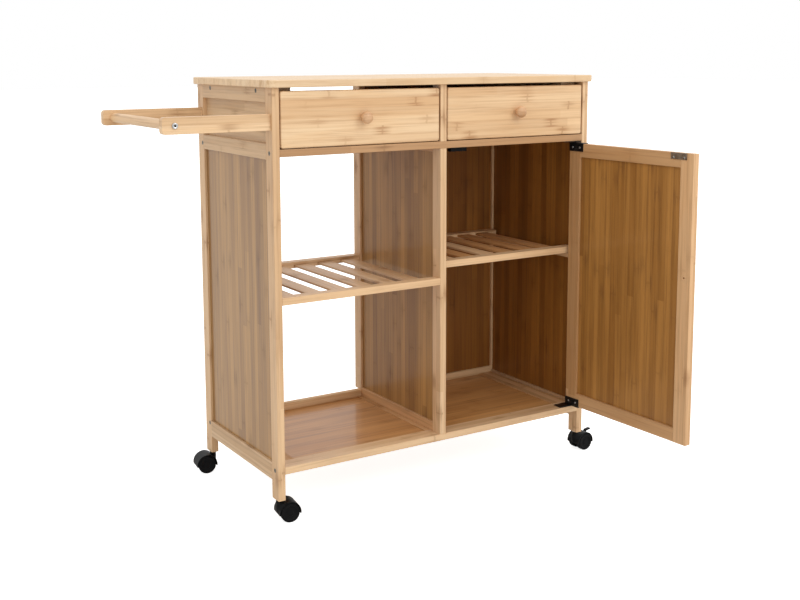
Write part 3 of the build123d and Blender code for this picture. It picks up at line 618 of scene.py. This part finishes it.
# %% Dress the door
hinge = next(joint for joint in frame["joints"] if joint["name"] == "door_hinge")
pivot = Vector(hinge["pos_m"])
door_turn = -math.radians(hinge["range_deg"][0])
stile_strip, rail_strip = 35 * MM, 31 * MM
# The stiles and rails take the darker door palette: painted shade on the door's inside face.
door_boards = {
    "door_stiles": ("door", upright, 34, stile_strip, {"band": 0.1}),
    "door_rails": ("door", sideways, 57, rail_strip, {}),
    "door_panel": ("panel", upright, 93, panel_strip, {**panel_looks, "coat": 0.35}),
}
for node, (palette, axes, seed, strip, looks) in door_boards.items():
    looks = {**looks, "turn": door_turn}
    dress(node, bamboo(f"bamboo {node}", palette, axes, pivot, seed, strip, **looks))
print("door boards turned by", round(math.degrees(door_turn), 1), "degrees")

# %% [markdown]
# ## Black plastic and metal
#
# Moulded nylon has a fine spark-eroded grain and scuffs that are a little shinier. Painted hinges
# are smoother. Plated steel shows a faint grain and clouded spots. One function makes all of them
# from two layers of noise, because only scale, colour and strength differ.

# %% Finishes of plastic and metal
CLOUD_WIDTH = 18  # how many times wider the clouds are than the grain
CLOUD_GLOSS = -0.16  # how much the clouds change the roughness
WEAR = (0.48, 0.72, 0.0, 0.8)  # the two ends of a range, and what they become


def grainy(name, base, worn, grain, metal, rough, relief, shine):
    """A hard finish with a fine grain, cloudy wear and uneven gloss."""
    material = bpy.data.materials.new(name)
    material.use_nodes = True
    tree = material.node_tree
    shader = tree.nodes["Principled BSDF"].inputs
    place = add(tree, "ShaderNodeTexCoord").outputs["Object"]
    looks = {"Vector": place, "Scale": grain, "Detail": 3.0}
    fine = add(tree, "ShaderNodeTexNoise", looks).outputs[0]
    looks = {"Vector": place, "Scale": grain / CLOUD_WIDTH, "Detail": 4.0}
    cloud = add(tree, "ShaderNodeTexNoise", looks).outputs[0]
    wear = eased(tree, cloud, *WEAR)
    tree.links.new(tinted(tree, wear, base, worn), shader["Base Color"])
    gloss = calc(tree, "MULTIPLY_ADD", cloud, CLOUD_GLOSS, rough)
    tree.links.new(gloss, shader["Roughness"])
    looks = {"Height": fine, "Strength": relief, "Distance": 0.2 * MM}
    tree.links.new(add(tree, "ShaderNodeBump", looks).outputs[0], shader["Normal"])
    shader["Metallic"].default_value = metal
    shader["Specular IOR Level"].default_value = shine
    return material


# Base tone, worn tone, grain in repeats for each metre, metal, roughness, relief, shine.
hard_looks = {
    "moulded black nylon": (tone(8, 8, 9), tone(15, 15, 16), 1500.0, 0.0, 0.5, 0.2, 0.14),
    "caster tread": (tone(8, 8, 9), tone(16, 16, 16), 900.0, 0.0, 0.6, 0.3, 0.14),
    "black hinge paint": (tone(14, 14, 15), tone(32, 32, 33), 1100.0, 0.0, 0.42, 0.12, 0.3),
    "zinc plating": (tone(172, 172, 170), tone(130, 129, 126), 900.0, 1.0, 0.4, 0.1, 0.5),
    "bright steel": (tone(205, 205, 204), tone(170, 170, 168), 1200.0, 1.0, 0.3, 0.08, 0.5),
    "dull zinc": (tone(126, 122, 112), tone(92, 89, 82), 900.0, 1.0, 0.5, 0.1, 0.5),
    # A near-black finish that paints the shadow inside the bolts' sockets.
    "dark socket": (tone(34, 33, 32), tone(52, 51, 49), 900.0, 0.6, 0.6, 0.1, 0.2),
}
hard = {name: grainy(name, *looks) for name, looks in hard_looks.items()}
nylon, tread, black_paint, plating, steel, dull_zinc, painted_shade_socket = hard.values()
dress("strike_plate", plating)
dress("hinge_brackets", black_paint)
dress("magnetic_catch", nylon)
print("hard finishes:", ", ".join(hard))

# %% [markdown]
# ## Pieces with round faces
#
# The frame's triangles are flat, which shows on round pieces as soon as one comes close. Such a
# piece could be modelled again, but where its shape is right it is enough to weld a copy and shade
# it smoothly up to the angle at which a real edge begins. The copy then stands for the node, and
# rides on the same body.

# %% Smooth copies of round pieces
EDGE_ANGLE = math.radians(32)


def finished(name, mesh, nodes, material):
    """Makes an object of a mesh that stands for nodes of one body, smooth but for real edges."""
    mesh.materials.clear()
    mesh.materials.append(material)
    mesh.shade_smooth()
    mesh.set_sharp_from_angle(angle=EDGE_ANGLE)
    piece = bpy.data.objects.new(name, mesh)
    bpy.context.scene.collection.objects.link(piece)
    body = frame["nodes"][nodes[0]].parent.name.split(":")[1]
    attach(piece, body)
    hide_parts(*nodes)


def mesh_of(name, shape):
    """A plain mesh with the faces of a bmesh."""
    bmesh.ops.recalc_face_normals(shape, faces=shape.faces)
    mesh = bpy.data.meshes.new(name)
    shape.to_mesh(mesh)
    shape.free()
    return mesh


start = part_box("towel_rod")[0]
rod_looks = {"seed": 30, "strip": bar_strip, "layer": bar_strip, "knuckle": 0.6}
round_pieces = {
    "towel_rod": bamboo("bamboo towel_rod", "frame", backwards, start, **rod_looks),
    "frame_bolts": dull_zinc,
    "handle_bolts": steel,
    "caster_stems": steel,
    "door_hinge_leaves": black_paint,
}
for node in frame["nodes"]:
    if node.endswith(("caster_housing", "brake_lever")):
        round_pieces[node] = nylon
for node, material in round_pieces.items():
    finished(f"smooth_{node}", mesh_of(f"smooth_{node}", welded(node)), [node], material)
print("smooth copies:", len(round_pieces))

# %% [markdown]
# ## Painted shade in the sockets
#
# The bolts have a six-sided socket for a key. Its faces get a near-black finish, which is painted
# shade for the shadow that falls into the socket. The socket's faces are found by their place: near
# the bolt's axis, and below the face of its head.

# %% Paint shade into the sockets of the rod bolts
rod_bolts = bpy.data.objects["smooth_handle_bolts"].data
rod_bolts.materials.append(painted_shade_socket)
rod_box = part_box("towel_rod")
rod_axis = (rod_box[0] + rod_box[1]) / 2
socket_radius, socket_depth, rim = 2.5 * MM, 4 * MM, 0.2 * MM
head_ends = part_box("handle_bolts")[0].y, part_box("handle_bolts")[1].y
shaded_socket_faces = 0
# Faces inside a socket take the near-black finish: painted shade.
for face in rod_bolts.polygons:
    spot = face.center
    aside = math.hypot(spot.x - rod_axis.x, spot.z - rod_axis.z)
    below = min(spot.y - head_ends[0], head_ends[1] - spot.y)
    if aside < socket_radius and rim < below < socket_depth:
        face.material_index = 1
        shaded_socket_faces += 1
print("socket faces:", shaded_socket_faces)

# %% [markdown]
# ## Turned pieces
#
# Knobs and wheels are bodies of revolution: the knobs are turned on a lathe, the wheels come out of
# a round mould. In Blender that is a profile spun about an axis. A profile is a list of radius and
# height, so a groove or a rounded rim is only another pair of numbers.

# %% A lathe
LATHE_WELD = 0.01 * MM


def spin(shape, profile, base, axis, steps=56):
    """Adds the profile, pairs of radius and height over the base, spun about the axis."""
    side = axis.orthogonal().normalized()
    rim = [shape.verts.new(base + side * radius + axis * height) for radius, height in profile]
    edges = [shape.edges.new(pair) for pair in zip(rim, rim[1:])]
    bmesh.ops.spin(shape, geom=rim + edges, cent=base, axis=axis, angle=math.tau, steps=steps)
    bmesh.ops.remove_doubles(shape, verts=shape.verts, dist=LATHE_WELD)


def corner(radius, height, towards_radius, towards_height, bend, steps=4):
    """Points of a rounded corner between two sides, each given by its way from the corner."""
    points = []
    for step in range(steps + 1):
        angle = math.pi / 2 * step / steps
        out, up = 1 - math.sin(angle), 1 - math.cos(angle)
        points.append((radius + bend * towards_radius * out, height + bend * towards_height * up))
    return points


print("a rounded corner has", len(corner(1, 0, -1, 1, 0.1)), "points")

# %% [markdown]
# ### Drawer knobs
#
# A knob has a thin tenon that is glued into the drawer front, a neck, a flare to the widest ring,
# and a low crown. Its radius and length are read from the frame's plain knob. The numbers given
# here are shares of them.

# %% Turn the knobs
NECK_SHARE, TENON_SHARE, WIDEST_SHARE = 0.54, 0.3, 0.62
knob_steps, knob_strip = 12, 7 * MM
knob_looks = {"layer": knob_strip, "knuckle": 0.2, "coat": 0.4, "gloss": 0.1}


def knob_profile(radius, length, tenon):
    """A tenon, a neck that flares to the widest ring, and a low crown."""
    neck, pin, widest = NECK_SHARE * radius, TENON_SHARE * radius, WIDEST_SHARE * length
    points = [(0.0, -tenon), (pin, -tenon), (pin, 0.0), (neck, 0.0)]
    for step in range(1, knob_steps + 1):
        share = step / knob_steps
        flare = share * share * (3 - 2 * share)
        points.append((neck + (radius - neck) * flare, widest * share))
    for step in range(1, knob_steps + 1):
        angle = math.pi / 2 * step / knob_steps
        points.append((radius * math.cos(angle), widest + (length - widest) * math.sin(angle)))
    return points


towards = -BACK
for seed, side in enumerate(("left", "right"), start=110):
    node = f"{side}_drawer_knob"
    points = corners_of(node)
    face = -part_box(f"{side}_drawer_front")[0].y
    low, tip = reach(points, towards)
    radius = length_along(points, UP) / 2
    base = middle_of(points)
    base += towards * (face - base.dot(towards))
    shape = bmesh.new()
    spin(shape, knob_profile(radius, tip - face, face - low), base, towards)
    finish = bamboo(f"turned {node}", "knob", sideways, base, seed, knob_strip, **knob_looks)
    finished(f"turned_{node}", mesh_of(f"turned_{node}", shape), [node], finish)
    print(node, "radius", round(radius / MM, 1), "mm")

# %% [markdown]
# ### Caster wheels
#
# Each caster has two wheels on one axle. A wheel has a tread with round shoulders, and on its outer
# side a raised rim, a shallow dish and a hub cap. The joint on which a pair rolls gives the middle
# and the axis, so the wheels turn true about it.

# %% Turn the caster wheels
SHOULDER, DISH, AXLE_RADIUS = 1.5 * MM, 1.2 * MM, 2.5 * MM
AXLE_STEPS = 24
# Shares of the wheel's radius and of the dish's depth below the rim, from the rim to the hub.
wheel_rim = ((0.76, 0.0), (0.735, 0.7), (0.7, 1.0))
hub_cap = ((0.36, 1.0), (0.34, 0.5), (0.2, 0.3), (0.0, 0.25))


def wheel_profile(radius, width):
    """A wheel from its inner to its outer face."""
    points = [(0.0, 0.0)]
    points += corner(radius, 0.0, -1, 1, SHOULDER)
    points += corner(radius, width, -1, -1, SHOULDER)[::-1]
    side = wheel_rim + hub_cap
    return points + [(share * radius, width - depth * DISH) for share, depth in side]


for place in ("front_left", "front_right", "back_left", "back_right"):
    node = f"{place}_caster_wheels"
    roll = next(joint for joint in frame["joints"] if joint["name"] == f"{place}_roll")
    axis, hub = Vector(roll["axis"]).normalized(), Vector(roll["pos_m"])
    half = length_along(corners_of(node), axis) / 2
    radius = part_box(node)[1].z / 2
    gap = min(abs(reach(points, axis)[0] - hub.dot(axis)) for points in loose_solids(node))
    shape = bmesh.new()
    for way in (axis, -axis):
        spin(shape, wheel_profile(radius, half - gap), hub + way * gap, way)
    axle = [(0.0, -gap), (AXLE_RADIUS, -gap), (AXLE_RADIUS, gap), (0.0, gap)]
    spin(shape, axle, hub, axis, steps=AXLE_STEPS)
    finished(f"turned_{node}", mesh_of(f"turned_{node}", shape), [node], tread)
    print(node, "radius", round(radius / MM, 1), "mm")

# %% [markdown]
# ## Geometry Nodes, run once
#
# What repeats is left to Geometry Nodes: one tree says what a slat or a screw is, and points say
# where they go. The tree could stay on the object as a live modifier, but this cart is kept as
# plain meshes. So a helper sets the tree's named inputs, lets Blender work it out once, keeps the
# mesh, and throws the carrier away.

# %% A helper that runs a tree
VECTOR, MATERIAL, GEOMETRY = "NodeSocketVector", "NodeSocketMaterial", "NodeSocketGeometry"


def grown(name, tree, values, points=(), facings=(), shanks=()):
    """The plain mesh that a geometry tree makes. Points may carry a facing and a shank length."""
    mesh = bpy.data.meshes.new(name)
    mesh.from_pydata(points, [], [])
    for label, kind, data in (("facing", "FLOAT_VECTOR", facings), ("shank", "FLOAT", shanks)):
        if data:
            numbers = mesh.attributes.new(label, kind, "POINT").data
            for slot, value in zip(numbers, data):
                setattr(slot, "vector" if kind == "FLOAT_VECTOR" else "value", value)
    carrier = bpy.data.objects.new(name, mesh)
    bpy.context.scene.collection.objects.link(carrier)
    modifier = carrier.modifiers.new("tree", "NODES")
    modifier.node_group = tree
    for item in tree.interface.items_tree:
        if item.in_out == "INPUT" and item.name in values:
            modifier[item.identifier] = values[item.name]
    ready = carrier.evaluated_get(bpy.context.evaluated_depsgraph_get())
    made = bpy.data.meshes.new_from_object(ready)
    bpy.data.objects.remove(carrier)
    return made


def painted(tree, geometry, finish):
    """Geometry with its instances made real and a material set on it."""
    plain = add(tree, "GeometryNodeRealizeInstances", {0: geometry}).outputs[0]
    inputs = {"Geometry": plain, "Material": finish}
    return add(tree, "GeometryNodeSetMaterial", inputs).outputs[0]


print("trees are run by", grown.__name__)

# %% [markdown]
# ## Shelf slats
#
# Both shelves are rows of thin slats whose ends sit in slots of the shelf's front and back rail. A
# slat is a rounded section drawn out along a line, so the tree fillets a rectangle, sweeps it, and
# sets the result on a row of points. The counts, the sizes and the step come from the frame's own
# slats. Those in the cupboard are thinly lacquered, and their tones differ more from one another:
# partly the strips' own tone, partly painted light on the lit slats and painted shade on the
# others.

# %% A tree for a row of slats
FILLET_POINTS = 4
slat_inputs = (
    ("Width", FLOAT, 0.03),
    ("Thickness", FLOAT, 0.005),
    ("Length", FLOAT, 0.3),
    ("Rounding", FLOAT, 0.001),
    ("Count", "NodeSocketInt", 6),
    ("First", VECTOR, None),
    ("Step", VECTOR, None),
    ("Finish", MATERIAL, None),
)


def slat_row():
    """The tree that makes a row of equal slats with rounded edges."""
    tree, given, result = open_group(
        "slat row", "GeometryNodeTree", slat_inputs, [("Geometry", GEOMETRY)]
    )
    half = calc(tree, "MULTIPLY", given["Length"], 0.5)
    front_end = three(tree, 0.0, calc(tree, "MULTIPLY", half, -1.0), 0.0)
    ends = {"Start": front_end, "End": three(tree, 0.0, half, 0.0)}
    line = add(tree, "GeometryNodeCurvePrimitiveLine", ends).outputs[0]
    level_line = add(tree, "GeometryNodeSetCurveNormal", {"Curve": line}, mode="Z_UP").outputs[0]
    size = {"Width": given["Width"], "Height": given["Thickness"]}
    section = add(tree, "GeometryNodeCurvePrimitiveQuadrilateral", size).outputs[0]
    inputs = {"Curve": section, "Radius": given["Rounding"], "Count": FILLET_POINTS}
    rounded = add(tree, "GeometryNodeFilletCurve", inputs, mode="POLY").outputs[0]
    inputs = {"Curve": level_line, "Profile Curve": rounded, "Fill Caps": True}
    bar = add(tree, "GeometryNodeCurveToMesh", inputs).outputs[0]
    inputs = {"Count": given["Count"], "Start Location": given["First"], "Offset": given["Step"]}
    row = add(tree, "GeometryNodeMeshLine", inputs).outputs[0]
    inputs = {"Points": row, "Instance": bar}
    spread = add(tree, "GeometryNodeInstanceOnPoints", inputs).outputs[0]
    tree.links.new(painted(tree, spread, given["Finish"]), result[0])
    return tree


slat_tree = slat_row()
print("tree:", slat_tree.name, "with", len(slat_tree.nodes), "nodes")

# %% Lay the slats
lengthways = ("Y", "X", "Z")
slat_rounding = 1.8 * MM
slat_looks = {
    "left_shelf_slats": ("frame", 120, {"band": 0.1}),
    # The slat palette paints light on some slats in the cupboard and shade on the others.
    "right_shelf_slats": ("slat", 386, {"band": 0.1, **thin_lacquer}),
}
for node, (palette, seed, looks) in slat_looks.items():
    slats = loose_solids(node)
    first, second = middle_of(slats[0]), middle_of(slats[1])
    step = second - first
    sizes = [length_along(slats[0], axis) for axis in (RIGHT, BACK, UP)]
    start = Vector(reach(slats[0], axis)[0] for axis in (RIGHT, BACK, UP))
    finish = bamboo(f"bamboo {node}", palette, lengthways, start, seed, step.x, **looks)
    values = {
        "Width": sizes[0],
        "Length": sizes[1],
        "Thickness": sizes[2],
        "Rounding": slat_rounding,
        "Count": len(slats),
        "First": first,
        "Step": step,
        "Finish": finish,
    }
    finished(f"rounded_{node}", grown(f"rounded_{node}", slat_tree, values), [node], finish)
    print(node, len(slats), "slats", [round(part / MM, 1) for part in sizes], "mm")

# %% [markdown]
# ## Door screws
#
# The hinge leaves and the strike plate are held by small wood screws with a domed head and a cross
# recess. The tree flattens a ball into the head, cuts two crossed bars out of it, and adds the
# shank. Nobody lines up screws, so each is turned by a random angle with a fixed seed.

# %% The head of a screw
screw_inputs = (
    ("Geometry", GEOMETRY, None),
    ("Head radius", FLOAT, 0.003),
    ("Head height", FLOAT, 0.001),
    ("Recess width", FLOAT, 0.0006),
    ("Shank radius", FLOAT, 0.0015),
    ("Seed", "NodeSocketInt", 7),
    ("Finish", MATERIAL, None),
)
HEAD_SEGMENTS, HEAD_RINGS = 28, 14
RECESS_LENGTH, RECESS_DEPTH = 1.15, 1.3  # shares of the head's radius and height


def screw_head(tree, given):
    """A flattened ball with a cross cut into it."""
    radius, height, width = given["Head radius"], given["Head height"], given["Recess width"]
    inputs = {"Segments": HEAD_SEGMENTS, "Rings": HEAD_RINGS, "Radius": radius}
    ball = add(tree, "GeometryNodeMeshUVSphere", inputs).outputs[0]
    flatness = three(tree, 1.0, 1.0, calc(tree, "DIVIDE", height, radius))
    head = add(tree, "GeometryNodeTransform", {"Geometry": ball, "Scale": flatness}).outputs[0]
    long_side = calc(tree, "MULTIPLY", radius, RECESS_LENGTH)
    deep = calc(tree, "MULTIPLY", height, RECESS_DEPTH)
    high = three(tree, 0.0, 0.0, height)
    for size in ((long_side, width, deep), (width, long_side, deep)):
        cube = add(tree, "GeometryNodeMeshCube", {"Size": three(tree, *size)}).outputs[0]
        inputs = {"Geometry": cube, "Translation": high}
        bar = add(tree, "GeometryNodeTransform", inputs).outputs[0]
        inputs = {"Mesh 1": head, "Mesh 2": bar}
        head = add(tree, "GeometryNodeMeshBoolean", inputs, solver="EXACT").outputs[0]
    return head


print("screw:", len(screw_inputs), "inputs")

# %% A tree for cross-recess screws
SHANK_SIDES = 20


def attribute(tree, name, kind):
    """The values that the points carry under a name."""
    return add(tree, "GeometryNodeInputNamedAttribute", {"Name": name}, data_type=kind).outputs[0]


def turned_to_facing(tree, given):
    """The turn that stands a screw on its face, with a random spin about its own length."""
    facing = {"Vector": attribute(tree, "facing", "FLOAT_VECTOR")}
    stand = add(tree, "FunctionNodeAlignRotationToVector", facing, axis="Z").outputs[0]
    draw = {2: 0.0, 3: math.tau, "Seed": given["Seed"]}
    angle = add(tree, "FunctionNodeRandomValue", draw, data_type="FLOAT").outputs[1]
    spin_by = {"Axis": (0, 0, 1), "Angle": angle}
    spun = add(tree, "FunctionNodeAxisAngleToRotation", spin_by).outputs[0]
    both = {0: stand, 1: spun}
    return add(tree, "FunctionNodeRotateRotation", both, rotation_space="LOCAL").outputs[0]


def screw_set():
    """The tree that sets a cross-recess screw on every point."""
    tree, given, result = open_group(
        "screws", "GeometryNodeTree", screw_inputs, [("Geometry", GEOMETRY)]
    )
    on_points = {"Points": given["Geometry"], "Rotation": turned_to_facing(tree, given)}
    inputs = {**on_points, "Instance": screw_head(tree, given)}
    heads = add(tree, "GeometryNodeInstanceOnPoints", inputs)
    inputs = {"Vertices": SHANK_SIDES, "Radius": given["Shank radius"], "Depth": 1.0}
    rod = add(tree, "GeometryNodeMeshCylinder", inputs).outputs[0]
    inputs = {"Geometry": rod, "Translation": (0, 0, -0.5)}
    below = add(tree, "GeometryNodeTransform", inputs).outputs[0]
    stretch = three(tree, 1.0, 1.0, attribute(tree, "shank", "FLOAT"))
    inputs = {**on_points, "Instance": below, "Scale": stretch}
    shanks = add(tree, "GeometryNodeInstanceOnPoints", inputs)
    both = add(tree, "GeometryNodeJoinGeometry")
    for part in (heads, shanks):
        tree.links.new(part.outputs[0], both.inputs[0])
    tree.links.new(painted(tree, both.outputs[0], given["Finish"]), result[0])
    return tree


screw_tree = screw_set()
print("tree:", screw_tree.name, "with", len(screw_tree.nodes), "nodes")

# %% Drive the screws
inward = Matrix.Rotation(door_turn, 3, "Z") @ BACK
values = {
    "Head radius": 2.6 * MM,
    "Head height": 1.0 * MM,
    "Recess width": 0.7 * MM,
    "Shank radius": 1.4 * MM,
    "Seed": 7,
    "Finish": plating,
}
spots, depths = [], []
for points in loose_solids("door_screws"):
    low, high = reach(points, inward)
    seat = high - values["Head height"]
    middle = middle_of(points)
    spots.append(middle + inward * (seat - middle.dot(inward)))
    depths.append(seat - low)
facings = [inward] * len(spots)
screws = grown("cross_recess_door_screws", screw_tree, values, spots, facings, depths)
finished("cross_recess_door_screws", screws, ["door_screws"], plating)
print("door screws:", len(spots), "with", len(screws.polygons), "faces")

# %% [markdown]
# ## The floor
#
# The cart stands on white paper in a white studio. In the picture the paper is overexposed, so that
# only a faint shadow stays under the casters. Brighter paper would do that, but it would also light
# the cart from below. So the paper glows to the camera alone, and throws back no more light than
# white paper does.

# %% Lay the paper
reach_of_paper, paper_glow = 30.0, 0.8
floor_mesh = bpy.data.meshes.new("studio_floor")
corner_signs = ((-1, -1), (1, -1), (1, 1), (-1, 1))
floor_corners = [(x * reach_of_paper, y * reach_of_paper, 0) for x, y in corner_signs]
floor_mesh.from_pydata(floor_corners, [], [(0, 1, 2, 3)])
floor = bpy.data.objects.new("studio_floor", floor_mesh)
bpy.context.scene.collection.objects.link(floor)
paper_looks = (tone(222, 222, 221), tone(218, 218, 217), 40.0, 0.0, 0.9, 0.02, 0.1)
paper = grainy("studio paper", *paper_looks)
tree = paper.node_tree
shader = tree.nodes["Principled BSDF"].inputs
shader["Emission Color"].default_value = (1, 1, 1, 1)
to_camera = add(tree, "ShaderNodeLightPath").outputs["Is Camera Ray"]
tree.links.new(calc(tree, "MULTIPLY", to_camera, paper_glow), shader["Emission Strength"])
floor_mesh.materials.append(paper)
print("paper laid:", floor.name)

# %% [markdown]
# ## The light
#
# The room lights the cart from all sides, a little more from above, from the front and from the
# right than from the left, and one large soft lamp high in front and to the right lifts the drawer
# fronts. More lamps could do the room's part, but each would draw its own shadow and its own bright
# spot in the lacquer. The camera sees the room as plain white, whatever it gives as light.

# %% Light the studio
room_light, room_slope = 1.08, 0.3
brighter_towards = Vector((0.25, -0.35, 0.2))
world = bpy.data.worlds.new("white room")
world.use_nodes = True
tree = world.node_tree
background = tree.nodes["Background"].inputs
direction = add(tree, "ShaderNodeTexCoord").outputs["Generated"]
inputs = {0: direction, 1: brighter_towards}
slant = add(tree, "ShaderNodeVectorMath", inputs, operation="DOT_PRODUCT").outputs["Value"]
given_light = calc(tree, "MULTIPLY_ADD", slant, room_slope, room_light)
to_camera = add(tree, "ShaderNodeLightPath").outputs["Is Camera Ray"]
tree.links.new(between(tree, to_camera, given_light, 1.0), background["Strength"])
background["Color"].default_value = (1, 1, 1, 1)
bpy.context.scene.world = world

lamp_place = Vector((0.9, -2.7, 2.6))
lamp_aim = (cad_box[0] + cad_box[1]) / 2
lamp_data = bpy.data.lights.new("key lamp", "AREA")
lamp_data.size = 1.6
lamp_data.energy = 24.0
lamp = bpy.data.objects.new("key lamp", lamp_data)
lamp.location = lamp_place
lamp.rotation_euler = (lamp_aim - lamp_place).to_track_quat("-Z", "Y").to_euler()
bpy.context.scene.collection.objects.link(lamp)
print("studio lit by", lamp.name, "and", world.name)

# %% [markdown]
# ## The camera
#
# The cart is seen from the front and the left, from just above its worktop. The place, the heading
# and the focal length were found by matching the cart's long edges.

# %% Set up the camera
camera_place = Vector((-1.2803, -2.0187, 0.9478))
heading, pitch, roll = (math.radians(angle) for angle in (32.2, -7.79, -0.166))
level_ahead = Vector((math.sin(heading), math.cos(heading), 0))
ahead = level_ahead * math.cos(pitch) + UP * math.sin(pitch)
level = Vector((math.cos(heading), -math.sin(heading), 0))
upward = level.cross(ahead)
right = level * math.cos(roll) + upward * math.sin(roll)
above = right.cross(ahead)
turned = Matrix((right, above, -ahead)).transposed().to_4x4()
camera = bpy.data.objects.new("camera", bpy.data.cameras.new("camera"))
bpy.context.scene.collection.objects.link(camera)
camera.matrix_world = Matrix.Translation(camera_place) @ turned
camera.data.sensor_width = 36.0
camera.data.lens = 51.1
camera.data.shift_y = -0.1125
bpy.context.scene.camera = camera
bpy.context.scene.view_settings.view_transform = "Standard"
print("camera at", tuple(round(part, 3) for part in camera_place))
